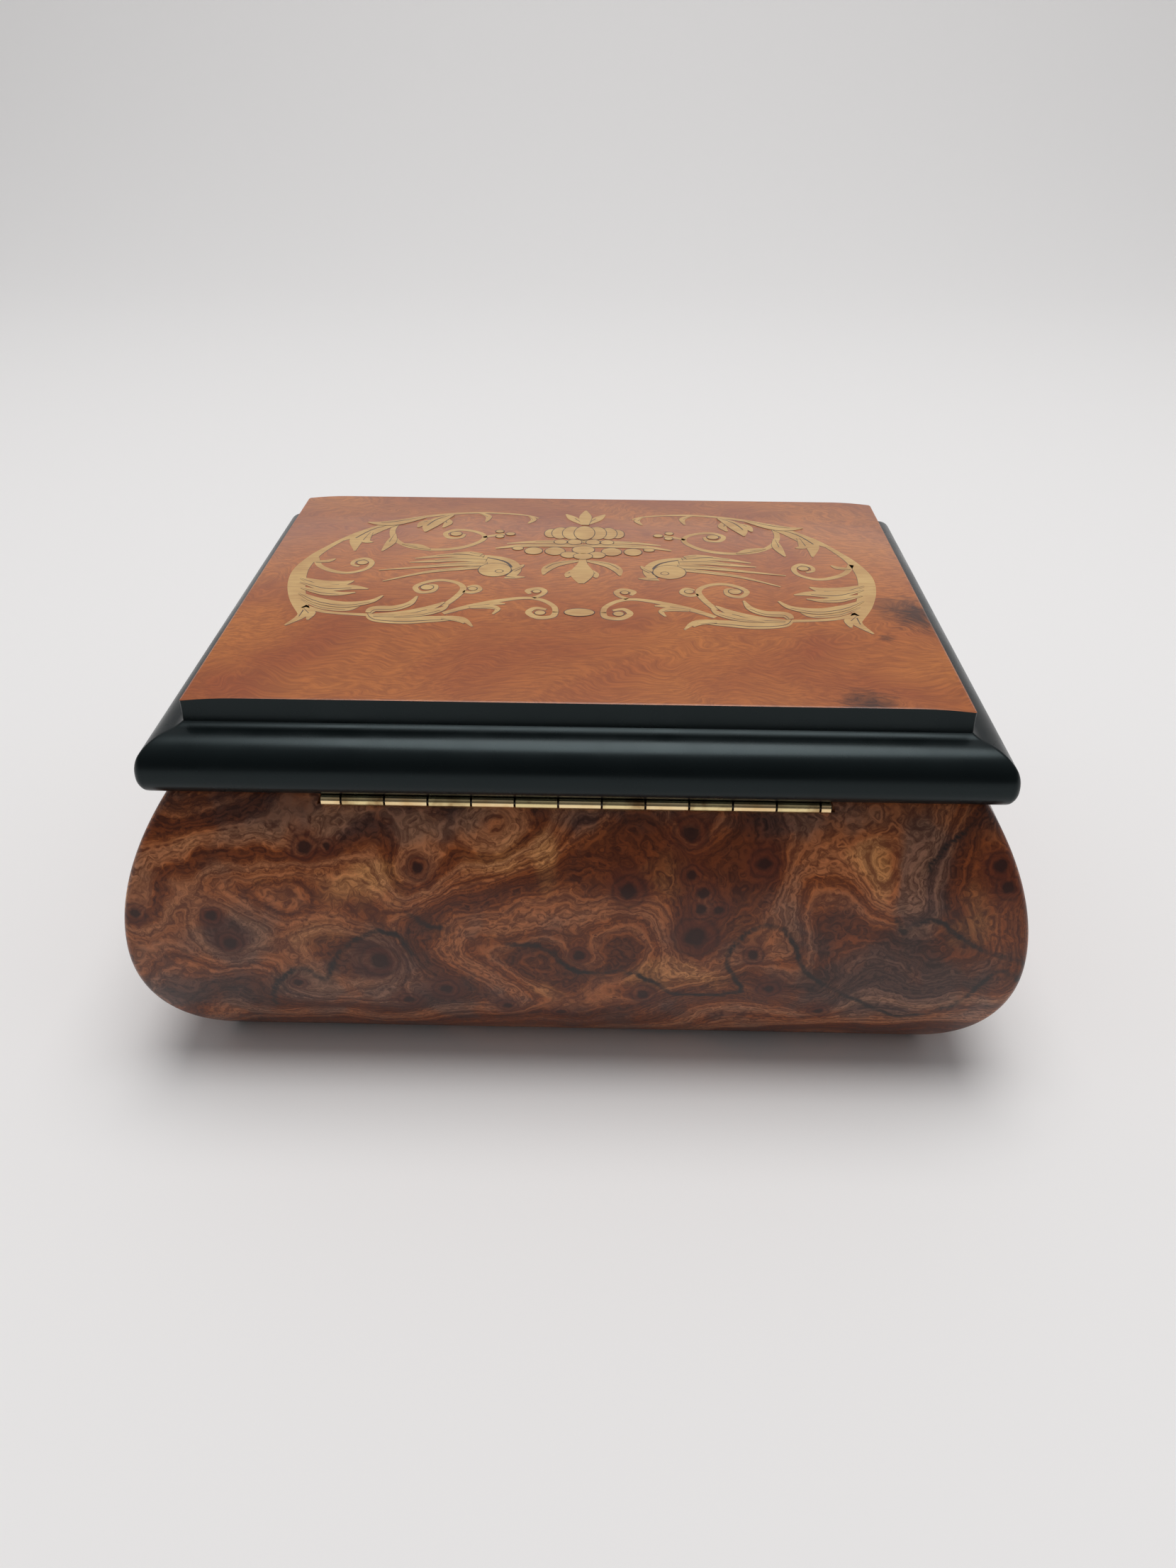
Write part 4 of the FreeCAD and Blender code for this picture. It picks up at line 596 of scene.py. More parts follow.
# The lid: a black lacquered board, moulded round its edge, with a raised field in the middle.
# The lacquer is rubbed to a satin, and dust has settled into it here and there.
LID_CORNER = 1.2 * MM
LID_BOTTOM_ROUND = 3.0 * MM
LID_EDGE_FLAT = 0.38 * MM
LID_OVOLO = 5.0 * MM
LEDGE_RUN = 0.6 * MM
LEDGE_TURN = math.radians(80)
CREASE_TURN = math.radians(50)
FIELD_INSET = 6.0 * MM
FIELD_CORNER = 0.35 * MM
CROWN_RUN = 8.0 * MM
CROWN_DROP = 0.5 * MM
ROUND_STEPS = 14
PLAN_STEPS = 8
EDGE_STEPS = 60
RUB_PATCH = 9 * MM
DUST_SPACING = 2.2 * MM
DUST_RARITY = 0.93
DUST_REACH = 0.035

lid_low, lid_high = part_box("lid_board")
sheet_low, sheet_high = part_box("lid_veneer")
field_half = (sheet_high.x, sheet_high.y)


def crown(x):
    """How far the field falls away towards its two ends."""
    reach = max(0, abs(x) - (field_half[0] - CROWN_RUN))
    radius = (CROWN_RUN ** 2 + CROWN_DROP ** 2) / (2 * CROWN_DROP)
    return radius - math.sqrt(radius ** 2 - reach ** 2)


def plan_ring(half_x, half_y, radius, height, crowned=False):
    """A rounded rectangle's points, with as many along the front as along the back."""
    points = []
    for corner, (side_x, side_y) in enumerate(((1, 1), (-1, 1), (-1, -1), (1, -1))):
        for step in range(PLAN_STEPS + 1):
            angle = math.pi / 2 * (corner + step / PLAN_STEPS)
            points.append((side_x * (half_x - radius) + radius * math.cos(angle),
                           side_y * (half_y - radius) + radius * math.sin(angle)))
        if corner % 2 == 0:
            for step in range(1, EDGE_STEPS):
                share = 1 - 2 * step / EDGE_STEPS
                points.append((side_x * share * (half_x - radius), side_y * half_y))
    return [(x, y, height - (crown(x) if crowned else 0)) for x, y in points]


def loft(rings):
    """Faces between rings of equal length, with the first and last closed by strips across the piece."""
    count = len(rings[0])
    faces = []
    for number in range(len(rings) - 1):
        here, there = number * count, (number + 1) * count
        for spot in range(count):
            after = (spot + 1) % count
            faces.append((here + spot, here + after, there + after, there + spot))
    half = count // 2
    back = list(range(PLAN_STEPS, PLAN_STEPS + EDGE_STEPS + 1))
    for base, order in ((0, -1), ((len(rings) - 1) * count, 1)):
        ends = [list(range(back[-1], half + PLAN_STEPS + 1)),
                list(range(half + back[-1], count)) + list(range(PLAN_STEPS + 1))]
        for spot in back[:-1]:
            other = half + back[0] + back[-1] - spot
            faces.append(tuple(base + index for index in (spot, spot + 1, other - 1, other))[::order])
        for end in ends:
            faces.append(tuple(base + index for index in end)[::order])
    return [point for ring in rings for point in ring], faces


def quarter(steps):
    """Angles from nought to a right angle."""
    return [math.pi / 2 * step / steps for step in range(steps + 1)]


def lid_rings():
    """The lid's moulding from its underside to the top of the raised field."""
    levels = [(LID_BOTTOM_ROUND * (1 - math.sin(angle)), LID_BOTTOM_ROUND * (1 - math.cos(angle)))
              for angle in quarter(ROUND_STEPS)]
    foot = LID_BOTTOM_ROUND + LID_EDGE_FLAT
    turns = [LEDGE_TURN * step / ROUND_STEPS for step in range(ROUND_STEPS + 1)]
    levels += [(LID_OVOLO * (1 - math.cos(turn)), foot + LID_OVOLO * math.sin(turn)) for turn in turns]
    inset, height = levels[-1]
    inset += LEDGE_RUN
    height += LEDGE_RUN / math.tan(LEDGE_TURN)
    cove = (FIELD_INSET - inset) / (math.cos(CREASE_TURN) - math.cos(LEDGE_TURN))
    turns = [LEDGE_TURN + (CREASE_TURN - LEDGE_TURN) * step / ROUND_STEPS
             for step in range(ROUND_STEPS + 1)]
    levels += [(inset + cove * (math.cos(turn) - math.cos(LEDGE_TURN)),
                height + cove * (math.sin(LEDGE_TURN) - math.sin(turn))) for turn in turns]
    rings = []
    for inset, height in levels:
        radius = max(FIELD_CORNER, LID_CORNER - inset)
        rings.append(plan_ring(lid_high.x - inset, lid_high.y - inset, radius, lid_low.z + height))
    rings.append(plan_ring(*field_half, FIELD_CORNER, lid_high.z, crowned=True))
    return rings


def black_lacquer():
    """Black lacquer rubbed to a satin: a trace of green in the black, soft highlights, settled dust."""
    material, tree, shader = new_material("black_satin_lacquer")
    place = add(tree, "TexCoord", {}).outputs["Object"]
    rub = add(tree, "TexNoise", {"Vector": place, "Scale": 1 / RUB_PATCH, "Detail": 3.0})
    gloss = add(tree, "MapRange", {"Value": rub, "From Min": 0.3, "From Max": 0.7, "To Min": 0.23,
                                   "To Max": 0.32})
    grains = add(tree, "TexVoronoi", {"Vector": place, "Scale": 1 / DUST_SPACING})
    rare = add(tree, "SeparateColor", {"Color": grains.outputs["Color"]})
    chosen = add(tree, "Math", {0: rare, 1: DUST_RARITY}, operation="GREATER_THAN")
    speck = add(tree, "Math", {0: grains.outputs["Distance"], 1: DUST_REACH}, operation="LESS_THAN")
    dust = add(tree, "Math", {0: chosen, 1: speck}, operation="MULTIPLY")
    colour = add(tree, "MixRGB", {"Fac": dust, "Color1": linear("#080D0E"), "Color2": linear("#8C918F")})
    wire(tree, shader, {"Base Color": colour, "Roughness": gloss, "Specular IOR Level": 0.3,
                        "Specular Tint": linear("#E4FBFF")})
    return material


lacquer = black_lacquer()
lid = piece("moulded_lid", *loft(lid_rings()), lacquer)
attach(lid, "lid")
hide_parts("lid_board")

# The lid's panel: a sheet of reddish veneer laid over the field, with its edges lacquered black.
# A darker knot runs off its rear edge, and the grain is soft and wavy under the satin.
SHEET_EASE = 0.14 * MM
SHEET_BEVEL = 0.3 * MM
INLAY_PROUD = 0.065 * MM
UPWARD = 0.5
FIGURE_PITCH = 26
GRAIN_BEND = (30, 30, 0)
GRAIN_STRETCH = (0.5, 2.2, 1.0)
KNOTS = [((-39.8, 40.4), 2.7), ((-52.4, 10.0), 4.2), ((-46.0, 19.5), 0.9)]
KNOT_CORE, KNOT_RIM, KNOT_RAGGED = 1.6, 3.1, 2.5


def lid_figure_veneer():
    """Reddish fruitwood veneer: soft cloudy figure, short wavy pores, and smoky knots at one end."""
    material, tree, shader = new_material("figured_veneer")
    place = add(tree, "TexCoord", {}).outputs["Object"]
    size = add(tree, "VectorMath", {0: place, "Scale": 1 / MM}, operation="SCALE")
    cloud = add(tree, "TexNoise", {"Vector": size, "Scale": 1 / FIGURE_PITCH, "Detail": 3.0,
                                   "Distortion": 0.6})
    share = add(tree, "MapRange", {"Value": cloud, "From Min": 0.3, "From Max": 0.7})
    ground = add(tree, "MixRGB", {"Fac": share, "Color1": linear("#994D25"), "Color2": linear("#BF7334")})
    bent = add(tree, "VectorMath", {0: cloud.outputs["Color"], 1: GRAIN_BEND, 2: size},
               operation="MULTIPLY_ADD")
    long_grain = add(tree, "VectorMath", {0: bent, 1: GRAIN_STRETCH}, operation="MULTIPLY")
    pores = add(tree, "TexNoise", {"Vector": long_grain, "Scale": 1.0, "Detail": 4.0, "Roughness": 0.65})
    fine = add(tree, "MapRange", {"Value": pores, "From Min": 0.36, "From Max": 0.56, "To Min": 0.48,
                                  "To Max": 0.0})
    brown = add(tree, "MixRGB", {"Fac": fine, "Color1": ground, "Color2": linear("#7E3F22")})
    lit = add(tree, "MapRange", {"Value": pores, "From Min": 0.5, "From Max": 0.7, "To Min": 1.0,
                                 "To Max": 1.18})
    shade = add(tree, "VectorMath", {0: brown, "Scale": lit}, operation="SCALE")
    for (x, y), radius in KNOTS:
        gap = add(tree, "VectorMath", {0: size, 1: (x, y, lid_high.z / MM)}, operation="DISTANCE")
        ragged = add(tree, "Math", {0: pores, 1: KNOT_RAGGED * radius, 2: gap.outputs["Value"]},
                     operation="MULTIPLY_ADD")
        dark = add(tree, "MapRange", {"Value": ragged, "From Min": KNOT_CORE * radius,
                                      "From Max": KNOT_RIM * radius, "To Min": 0.85, "To Max": 0.0})
        shade = add(tree, "MixRGB", {"Fac": dark, "Color1": shade, "Color2": linear("#2B1A17")})
    wire(tree, shader, {"Base Color": shade, "Roughness": 0.5, "Specular IOR Level": 0.25,
                        "Coat Weight": 0.55, "Coat Roughness": 0.2})
    return material


def sheet_rings():
    """The veneer sheet from its underside to its eased top edge."""
    top = sheet_high.z - INLAY_PROUD
    under = sheet_low.z + CROWN_DROP
    eased = (field_half[0] - SHEET_BEVEL, field_half[1] - SHEET_BEVEL)
    return [plan_ring(*field_half, FIELD_CORNER, under, crowned=True),
            plan_ring(*field_half, FIELD_CORNER, top - SHEET_EASE, crowned=True),
            plan_ring(*eased, FIELD_CORNER - SHEET_BEVEL, top, crowned=True)]


panel = piece("lid_panel", *loft(sheet_rings()), lid_figure_veneer(), lacquer)
for face in panel.data.polygons:
    face.material_index = 0 if face.normal.z > UPWARD else 1
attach(panel, "lid")
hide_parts("lid_veneer")

# The inlay: arabesque marquetry of pale maple let into the panel, scorched in hot sand along one edge.
# Leafy scrolls enclose two long-feathered birds and a dish of fruit, the same left and right. Each stroke
# is a run of points, across and along the panel, with its width there, all in millimetres.
INLAY_DEPTH = 0.15 * MM
INLAY_LAYER = 0.0015 * MM
SCORCH_SHIFT = (-0.08, 0.15)
SCORCH_RIM = 0.14
MAPLE_GRAIN = (4, 0.5, 1000)
MAPLE_CLOUD = 5 * MM
STROKE_FULL = 1.15
STROKE_LEAST = 0.1
VEIN_SHARE, VEIN_OFFSET = 0.09, -0.18
OVAL_STEPS = 20
OVAL_TIP = 0.02
LEAF_LEVEL, FRUIT_LEVEL, TOP_LEVEL = 2, 20, 38
LEAF_STAGGER, FRUIT_STAGGER = 6, 9
LANES = 4
INLAY_MIDDLE = 0.4
PALE, SCORCHED = 0, 1
STEMS = [
    [(42.5, 13.5, 1.8), (44.8, 7.8, 2.3), (46.4, 1.4, 2.5), (46.9, -4.4, 2.2), (45.9, -10.1, 1.5),
     (44.3, -14.4, 1.0), (41.8, -19.4, 0.8), (38.6, -23.6, 0.8), (34.3, -27.6, 0.9), (29.3, -30.4, 0.9),
     (24.3, -32.1, 0.7), (19.3, -32.8, 0.6), (14.3, -32.5, 0.5), (10.4, -31.5, 0.4), (8.6, -30.2, 0.3)],
    [(43.2, 11.0, 1.1), (38.9, 13.1, 0.7), (32.5, 13.9, 0.8)],
    [(21.4, 10.1, 0.9), (19.8, 6.5, 0.9), (19.0, 3.1, 0.9), (20.2, 0.8, 0.8), (22.9, -0.3, 0.8),
     (25.5, 0.8, 0.8), (26.8, 2.8, 0.8), (25.7, 4.8, 0.8), (23.8, 4.2, 0.8), (23.6, 2.1, 0.7),
     (24.8, 1.7, 0.5)],
    [(18.9, 4.2, 0.7), (17.5, 4.6, 0.9), (16.4, 3.4, 0.9), (17.1, 1.9, 0.8), (18.4, 2.4, 0.5)],
    [(21.1, 12.9, 0.8), (17.5, 10.2, 1.1), (13.2, 7.9, 1.0), (8.9, 6.5, 0.8), (6.1, 7.2, 0.8),
     (4.1, 9.6, 0.8), (3.7, 11.9, 0.8)],
    [(7.5, 6.4, 0.7), (6.2, 5.1, 0.7), (5.8, 3.6, 0.8), (6.9, 2.6, 0.9), (8.5, 3.5, 0.9), (8.1, 4.8, 0.5)],
    [(3.7, 11.7, 0.8), (4.2, 13.5, 0.9), (6.4, 13.9, 1.0), (7.9, 12.1, 0.9), (6.9, 10.4, 0.8),
     (5.2, 10.9, 0.5)],
    [(45.5, -9.4, 0.9), (44.1, -5.8, 0.9), (41.4, -3.5, 0.9), (38.6, -2.9, 0.7), (36.1, -4.7, 0.7),
     (35.6, -7.4, 0.8), (36.9, -9.2, 0.8), (38.6, -8.3, 0.7), (38.7, -6.5, 0.6), (37.5, -5.8, 0.5)],
    [(34.1, -26.9, 0.7), (34.5, -22.9, 0.9), (33.4, -18.6, 0.9), (30.4, -15.1, 0.9), (25.7, -13.8, 0.9),
     (21.1, -15.1, 0.9), (18.1, -18.3, 0.8), (17.9, -21.1, 0.8), (20.0, -23.1, 0.8), (22.9, -23.6, 0.8),
     (24.8, -21.9, 0.8), (23.9, -19.7, 0.8), (21.9, -19.9, 0.7), (21.4, -21.6, 0.5)],
    [(17.9, -20.1, 0.6), (16.1, -21.1, 0.8), (14.3, -21.9, 0.8)],
]
LEAVES = [
    [(42.5, 12.4, 2.0), (42.8, 14.9, 1.3), (44.5, 18.1, 0.3)],
    [(43.0, 11.5, 0.6), (41.6, 13.4, 1.4), (41.5, 16.0, 0.3)],
    [(46.1, -0.4, 0.6), (42.5, 1.6, 2.0), (39.3, 1.8, 1.9), (37.2, 0.5, 0.3)],
    [(45.8, 1.2, 0.6), (41.1, 3.4, 2.2), (37.1, 3.2, 1.6), (34.3, 3.8, 0.3)],
    [(45.2, 3.6, 0.5), (41.4, 5.3, 1.8), (38.6, 5.9, 1.2), (36.1, 5.3, 0.3)],
    [(45.0, 5.8, 0.5), (41.4, 8.7, 1.7), (37.1, 10.1, 1.8), (33.2, 8.9, 1.1), (31.5, 6.4, 0.3)],
    [(44.1, 8.1, 0.5), (40.4, 11.0, 1.3), (36.4, 11.9, 1.1), (34.5, 10.5, 0.3)],
    [(32.6, 13.4, 0.8), (31.1, 15.2, 1.8), (26.8, 15.7, 2.2), (22.5, 15.1, 1.9), (18.2, 14.8, 1.2),
     (16.1, 17.6, 0.3)],
    [(31.8, 13.9, 0.8), (27.5, 13.3, 1.7), (23.9, 11.4, 1.6), (21.4, 8.6, 0.3)],
    [(28.6, 14.3, 0.6), (24.6, 13.3, 1.4), (21.8, 11.6, 1.2), (20.7, 9.8, 0.3)],
    [(32.6, 13.1, 1.0), (31.9, 11.6, 1.7), (28.9, 11.2, 1.6), (26.8, 9.4, 1.1), (26.0, 6.4, 0.3)],
    [(21.1, 14.6, 0.8), (18.6, 15.4, 0.8), (17.5, 16.5, 0.3)],
    [(17.5, 10.1, 0.5), (14.3, 8.9, 1.3), (11.8, 8.9, 0.3)],
    [(17.1, 10.6, 0.5), (14.3, 10.1, 1.3), (12.8, 11.0, 0.8), (13.4, 12.9, 0.3)],
    [(45.2, -7.6, 0.5), (43.2, -7.9, 1.0), (42.1, -9.0, 0.3)],
    [(33.8, -21.1, 0.4), (33.9, -17.2, 1.5), (34.8, -12.8, 0.3)],
    [(31.8, -16.4, 0.4), (28.9, -15.4, 1.4), (26.6, -14.0, 0.3)],
    [(29.6, -30.1, 0.8), (34.1, -27.2, 2.2), (37.1, -26.4, 1.6), (39.6, -26.9, 0.3)],
    [(36.4, -24.4, 0.6), (40.0, -21.1, 1.8), (42.4, -17.6, 0.3)],
    [(33.6, -26.9, 0.6), (37.5, -23.3, 2.4), (40.0, -18.6, 2.4), (39.5, -12.8, 0.3)],
    [(38.2, -21.9, 0.6), (38.6, -17.9, 1.6), (37.1, -16.9, 0.3)],
    [(25.7, -29.7, 0.6), (25.0, -27.2, 1.4), (25.7, -24.7, 0.3)],
    [(26.6, -29.0, 0.6), (29.3, -27.2, 1.6), (30.2, -24.7, 0.3)],
    [(24.6, -31.5, 0.6), (26.9, -28.5, 2.4), (28.2, -25.4, 2.2), (28.6, -22.4, 0.3)],
    [(19.6, -32.6, 0.5), (17.9, -30.8, 1.0), (18.2, -27.9, 0.3)],
    [(10.4, -31.4, 0.4), (9.5, -29.5, 0.9), (10.4, -27.4, 0.3)],
    [(0.3, -27.2, 0.6), (2.2, -30.2, 1.6), (3.6, -32.6, 0.3)],
    [(0.6, -9.6, 0.6), (4.2, -8.0, 1.6), (5.9, -5.8, 1.5), (6.4, -3.2, 0.3)],
    [(0.4, -6.4, 0.8), (2.0, -3.8, 1.4), (2.5, -2.2, 0.3)],
    [(0.0, -16.6, 1.4), (5.0, -16.7, 1.4), (11.0, -16.2, 1.1), (15.3, -14.8, 0.4)],
    [(0.0, -18.8, 1.4), (8.5, -18.2, 1.0), (13.5, -17.2, 0.3)],
]
BIRD = [
    [(17.1, -10.6, 1.8), (21.4, -11.4, 1.6), (25.0, -10.8, 1.0), (28.6, -9.6, 0.25)],
    [(17.5, -11.6, 1.2), (19.6, -12.4, 1.2), (22.4, -12.2, 0.3)],
    [(16.4, -9.2, 1.8), (21.1, -9.5, 1.6), (25.0, -8.6, 1.0), (29.3, -7.8, 0.25)],
    [(16.1, -6.4, 1.4), (21.1, -5.1, 1.0), (26.4, -3.3, 0.7), (32.5, 0.5, 0.25)],
    [(16.1, -7.6, 1.6), (21.1, -7.2, 1.4), (26.1, -6.0, 0.8), (33.9, -4.2, 0.25)],
    [(13.4, -3.0, 4.4), (12.7, -5.4, 4.4), (13.8, -8.1, 4.2), (16.6, -9.9, 3.0), (19.2, -11.0, 1.2)],
    [(12.4, -2.6, 2.4), (10.9, -2.1, 1.1), (9.4, -2.1, 0.2)],
    [(11.8, -5.2, 1.4), (10.4, -6.6, 0.8), (9.9, -7.6, 0.2)],
]
CENTRE_LEAVES = [
    [(0.0, -34.6, 0.3), (0.0, -31.2, 2.0), (0.0, -27.0, 1.2)],
    [(0.0, -10.2, 1.0), (0.0, -8.0, 1.5), (0.0, -4.6, 3.4), (0.0, -2.2, 2.8), (0.0, 0.3, 0.8)],
]
FRUIT = [
    (5.9, -22.5, 1.2, 2.1), (4.3, -22.7, 1.5, 2.8), (2.2, -22.8, 1.7, 3.2), (4.1, -18.3, 1.1, 1.1),
    (1.6, -18.3, 1.2, 1.2), (11.4, -14.9, 0.9, 0.8), (8.6, -13.8, 1.5, 1.6), (4.9, -13.8, 1.7, 1.8),
    (2.4, -12.2, 1.4, 1.4), (24.9, 2.8, 1.0, 1.0), (17.5, 3.1, 0.7, 0.7), (7.1, 3.9, 0.6, 0.6),
    (6.1, 12.2, 0.8, 0.8), (37.2, -7.4, 0.9, 0.9), (22.9, -21.6, 1.0, 1.0), (15.2, -23.1, 0.7, 0.7),
    (13.2, -21.9, 0.8, 0.7), (15.0, -20.6, 0.7, 0.7), (14.6, -5.0, 2.7, 2.9), (13.8, -4.4, 0.6, 0.6),
]
CENTRE_FRUIT = [
    (0.0, -22.8, 1.8, 3.4), (0.0, -14.6, 1.9, 1.8), (0.0, -11.6, 1.6, 1.4), (0.0, 11.9, 2.3, 1.4),
]


def stroke(spots, shift=(0, 0), share=1.0, offset=0.0):
    """The two edges of a tapering strip; share narrows it and offset moves it towards one edge."""
    run = smooth_run(spots)
    heading = np.gradient(run[:, :2], axis=0)
    heading /= np.linalg.norm(heading, axis=1)[:, None]
    across = np.column_stack([-heading[:, 1], heading[:, 0]])
    width = np.maximum(run[:, 2:] * STROKE_FULL, STROKE_LEAST)
    middle = run[:, :2] + across * width * offset + np.array(shift)
    return middle - across * width * share / 2, middle + across * width * share / 2


def oval(spot, grow=0.0):
    """The two edges of a round or oval piece."""
    x, y, wide, high = spot
    turns = np.linspace(OVAL_TIP, math.pi - OVAL_TIP, OVAL_STEPS)
    reach = (wide + grow) * np.sin(turns)
    height = y - (high + grow) * np.cos(turns)
    return np.column_stack([x + reach, height]), np.column_stack([x - reach, height])


def half_ornament():
    """Each piece of one half as its edges, its level and its shade: stems, leaves and bird, then fruit."""
    cuts = []
    for spots in STEMS:
        cuts.append((stroke(spots, SCORCH_SHIFT), 0, SCORCHED))
        cuts.append((stroke(spots), 1, PALE))
    for number, spots in enumerate(LEAVES + BIRD):
        level = LEAF_LEVEL + 3 * (number % LEAF_STAGGER)
        cuts.append((stroke(spots, SCORCH_SHIFT), level, SCORCHED))
        cuts.append((stroke(spots), level + 1, PALE))
        cuts.append((stroke(spots[:-1], share=VEIN_SHARE, offset=VEIN_OFFSET), level + 2, SCORCHED))
    for number, spot in enumerate(FRUIT):
        level = FRUIT_LEVEL + 2 * (number % FRUIT_STAGGER)
        cuts.append((oval(spot, SCORCH_RIM), level, SCORCHED))
        cuts.append((oval(spot), level + 1, PALE))
    return cuts


def middle_ornament():
    """The leaves and fruit on the middle line, which are not mirrored."""
    cuts = []
    for spots in CENTRE_LEAVES:
        cuts.append((stroke(spots, SCORCH_SHIFT), FRUIT_LEVEL, SCORCHED))
        cuts.append((stroke(spots), FRUIT_LEVEL + 1, PALE))
    for spot in CENTRE_FRUIT:
        cuts.append((oval(spot, SCORCH_RIM), TOP_LEVEL, SCORCHED))
        cuts.append((oval(spot), TOP_LEVEL + 1, PALE))
    return cuts


def marquetry():
    """All the pieces as thin closed slips that follow the panel's crown."""
    points, faces, shades = [], [], []
    halves = half_ornament()
    mirrored = [((right * (-1, 1), left * (-1, 1)), level, shade) for (left, right), level, shade in halves]
    for (left, right), level, shade in halves + mirrored + middle_ornament():
        base = len(points)
        count = len(left)
        lanes = np.concatenate([left + (right - left) * lane / LANES for lane in range(LANES + 1)])
        top = sheet_high.z - INLAY_PROUD + (level + 1) * INLAY_LAYER
        for drop in (0, INLAY_DEPTH):
            for x, y in lanes:
                across = (x + INLAY_MIDDLE) * MM
                points.append((across, y * MM, top - drop - crown(across)))
        under = len(lanes)
        last = under - count
        fresh = []
        for spot in range(last):
            if (spot + 1) % count:
                ends = (spot, spot + 1, count + spot + 1, count + spot)
                fresh += [ends[::-1], tuple(under + end for end in ends)]
        edge = [*range(count), *range(2 * count - 1, last, count), *range(under - 1, last - 1, -1),
                *range(last - count, 0, -count)]
        for start, stop in zip(edge, edge[1:] + edge[:1]):
            fresh.append((start, stop, under + stop, under + start))
        faces += [tuple(base + corner for corner in face) for face in fresh]
        shades += [shade] * len(fresh)
    return points, faces, shades


def maple_veneer(name, pale, deep):
    """Lacquered maple: faint streaks of the grain between its two colours, in soft clouds."""
    material, tree, shader = new_material(name)
    place = add(tree, "TexCoord", {}).outputs["Object"]
    along = add(tree, "VectorMath", {0: place, 1: [1 / (size * MM) for size in MAPLE_GRAIN]},
                operation="MULTIPLY")
    grain = add(tree, "TexNoise", {"Vector": along, "Scale": 1.0, "Detail": 3.0})
    cloud = add(tree, "TexNoise", {"Vector": place, "Scale": 1 / MAPLE_CLOUD, "Detail": 2.0})
    both = add(tree, "Math", {0: grain, 1: cloud}, operation="ADD")
    share = add(tree, "MapRange", {"Value": both, "From Min": 0.75, "From Max": 1.3})
    colour = add(tree, "MixRGB", {"Fac": share, "Color1": linear(pale), "Color2": linear(deep)})
    wire(tree, shader, {"Base Color": colour, "Roughness": 0.4, "Coat Weight": 0.4, "Coat Roughness": 0.28})
    return material


maple = maple_veneer("maple_inlay", "#D3AB68", "#B8874A")
scorched_maple = maple_veneer("scorched_maple", "#4A2B16", "#2E1A0E")
inlay_points, inlay_faces, inlay_shades = marquetry()
inlay = piece("arabesque_inlay", inlay_points, inlay_faces, maple, scorched_maple)
inlay.data.polygons.foreach_set("material_index", inlay_shades)
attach(inlay, "lid")

# The floor: a wide sheet of pale paper, which curves up behind the box, as the camera sees it, so that no
# horizon shows. It belongs to the picture, not to the part.
FLOOR_REACH = 2.0
FLOOR_DEPTH = 0.55
FLOOR_HALF = 1.6
SWEEP_RADIUS = 0.35
SWEEP_TOP = 0.36
SWEEP_STEPS = 24


def paper_sweep():
    """The paper's points and faces, from behind the camera to the top of the sweep."""
    profile = [(FLOOR_REACH, 0.0)]
    profile += [(-FLOOR_DEPTH - SWEEP_RADIUS * math.sin(angle), SWEEP_RADIUS * (1 - math.cos(angle)))
                for angle in quarter(SWEEP_STEPS)]
    profile.append((-FLOOR_DEPTH - SWEEP_RADIUS, SWEEP_TOP))
    points = [(side * FLOOR_HALF, y, z) for y, z in profile for side in (-1, 1)]
    faces = [(2 * row, 2 * row + 1, 2 * row + 3, 2 * row + 2) for row in range(len(profile) - 1)]
    return points, faces


paper, tree, shader = new_material("matt_paper")
wire(tree, shader, {"Base Color": linear("#F7F5F4"), "Roughness": 0.9, "Specular IOR Level": 0.2})
floor = piece("paper_sweep", *paper_sweep(), paper)

# Soft studio light: one broad lamp overhead, and a room that is dim behind the camera, so that the lacquer
# stays dark on that side. Reflections alone see a pale wall low down beyond the box, and the camera and the
# rays through the clear cover see a plain pale backdrop.
ROOM_PALE, ROOM_DIM = 0.38, 0.1
WALL_GLOW = 0.45
LAMP_PLACE = Vector((-0.04, -0.08, 1.15))
LAMP_AIM = Vector((0, 0, 0.03))
LAMP_WIDTH, LAMP_POWER = 0.84, 8.4

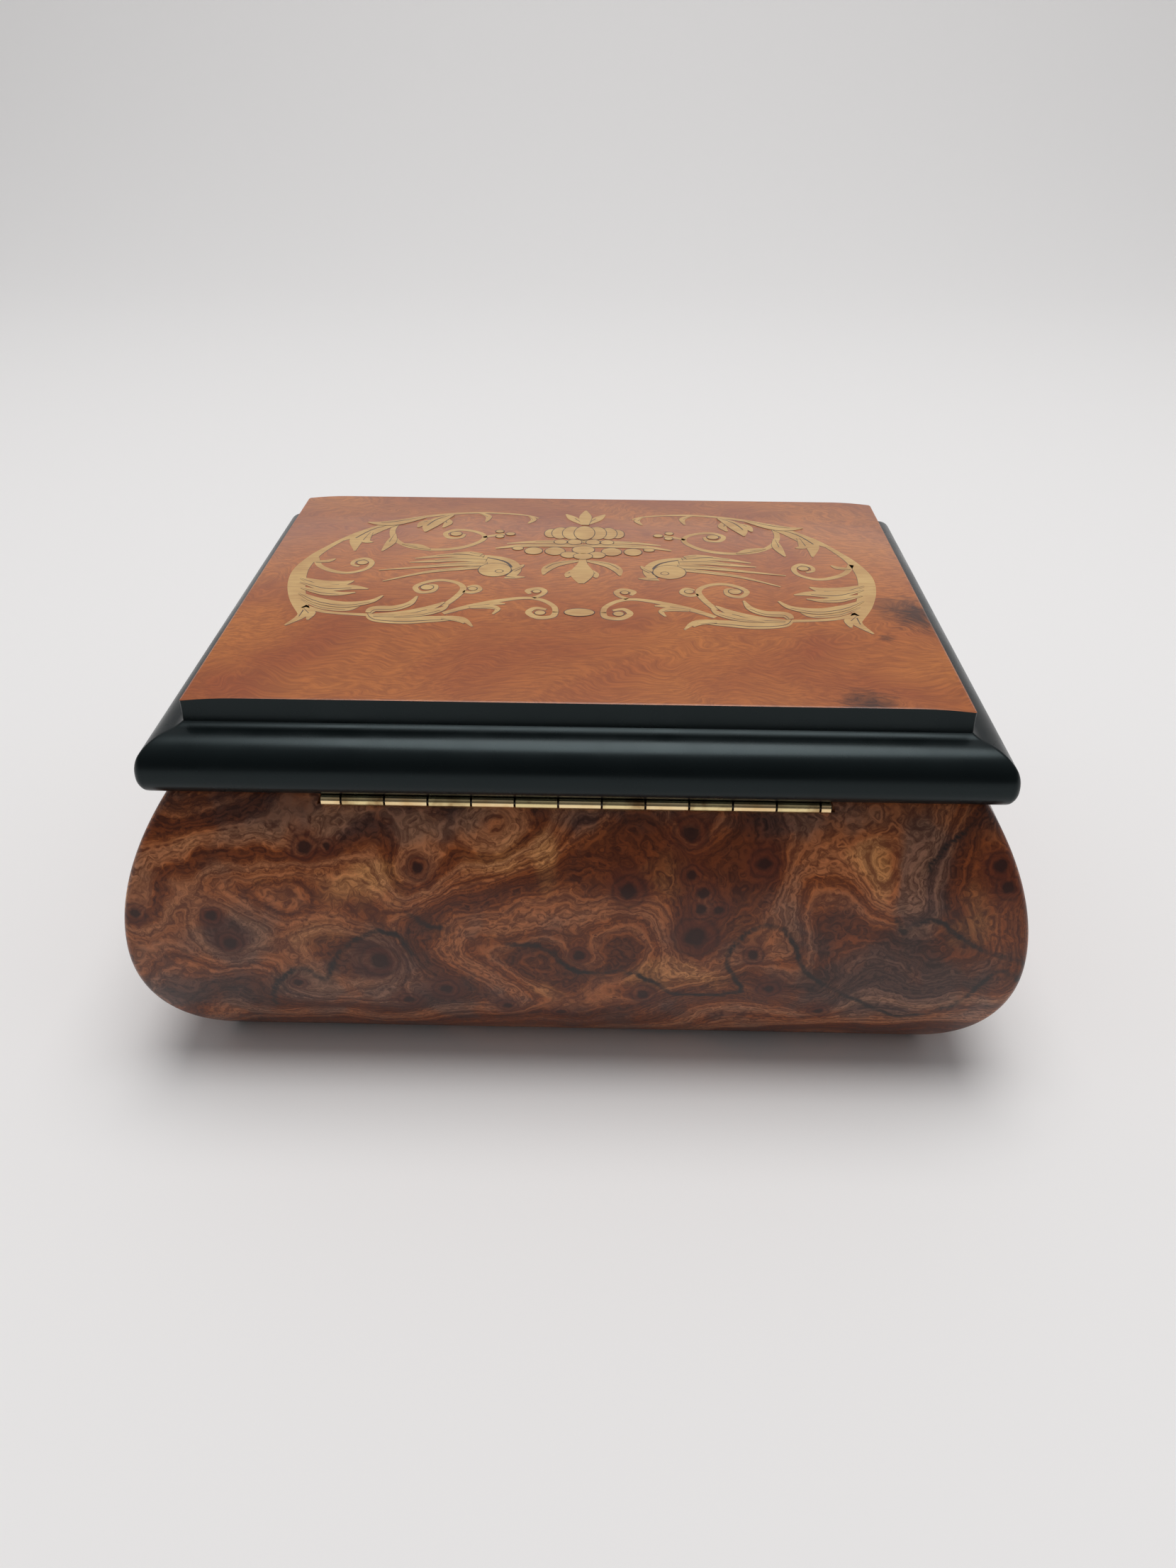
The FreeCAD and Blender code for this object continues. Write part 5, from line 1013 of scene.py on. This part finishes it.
world = bpy.data.worlds.new("studio")
world.use_nodes = True
bpy.context.scene.world = world
tree = world.node_tree
facing = add(tree, "SeparateXYZ", {"Vector": add(tree, "TexCoord", {}).outputs["Generated"]}).outputs["Y"]
room = add(tree, "MapRange", {"Value": facing, "From Min": 0.3, "From Max": 0.92, "To Min": ROOM_PALE,
                              "To Max": ROOM_DIM})
glow = add(tree, "MapRange", {"Value": facing, "From Min": -0.97, "From Max": -0.82, "To Min": WALL_GLOW,
                              "To Max": 0.0})
path = add(tree, "LightPath", {}).outputs
lit_room = add(tree, "Math", {0: glow, 1: path["Is Glossy Ray"], 2: room}, operation="MULTIPLY_ADD")
seen = add(tree, "Math", {0: path["Is Camera Ray"], 1: path["Is Transmission Ray"]}, operation="MAXIMUM")
shown = add(tree, "MixRGB", {"Fac": seen, "Color1": lit_room, "Color2": linear("#DFDEDD")})
wire(tree, tree.nodes["Background"], {"Color": linear("#F4F5F7"), "Strength": shown})
softbox = bpy.data.lights.new("overhead_softbox", "AREA")
softbox.shape = "DISK"
softbox.size = LAMP_WIDTH
softbox.energy = LAMP_POWER
lamp = bpy.data.objects.new("overhead_softbox", softbox)
lamp.location = LAMP_PLACE
lamp.rotation_euler = (LAMP_AIM - LAMP_PLACE).to_track_quat("-Z", "Y").to_euler()
bpy.context.scene.collection.objects.link(lamp)

# The camera looks at the hinge side from above, at the distance and height of the photograph.
# Its focal length is in pixels of a picture of that height, and its angles are in degrees.
FRAME_PIXELS = 2212
FOCAL_PIXELS = 1726
SENSOR = 24
EYE = Vector((-4.1, 187.2, 136.8)) * MM
PITCH, YAW, ROLL = (math.radians(angle) for angle in (31.97, -0.96, 0.44))

ahead = Vector((-math.sin(YAW) * math.cos(PITCH), -math.cos(YAW) * math.cos(PITCH), -math.sin(PITCH)))
level_right = Vector((-math.cos(YAW), math.sin(YAW), 0))
level_up = level_right.cross(ahead)
right = level_right * math.cos(ROLL) + level_up * math.sin(ROLL)
up = level_up * math.cos(ROLL) - level_right * math.sin(ROLL)
lens = bpy.data.cameras.new("camera")
lens.sensor_fit = "VERTICAL"
lens.sensor_height = SENSOR
lens.lens = FOCAL_PIXELS / FRAME_PIXELS * SENSOR
lens.clip_start = 0.01
camera = bpy.data.objects.new("camera", lens)
camera.matrix_world = Matrix((right, up, -ahead)).transposed().to_4x4()
camera.location = EYE
bpy.context.scene.collection.objects.link(camera)
bpy.context.scene.camera = camera
bpy.context.scene.view_settings.view_transform = "Standard"
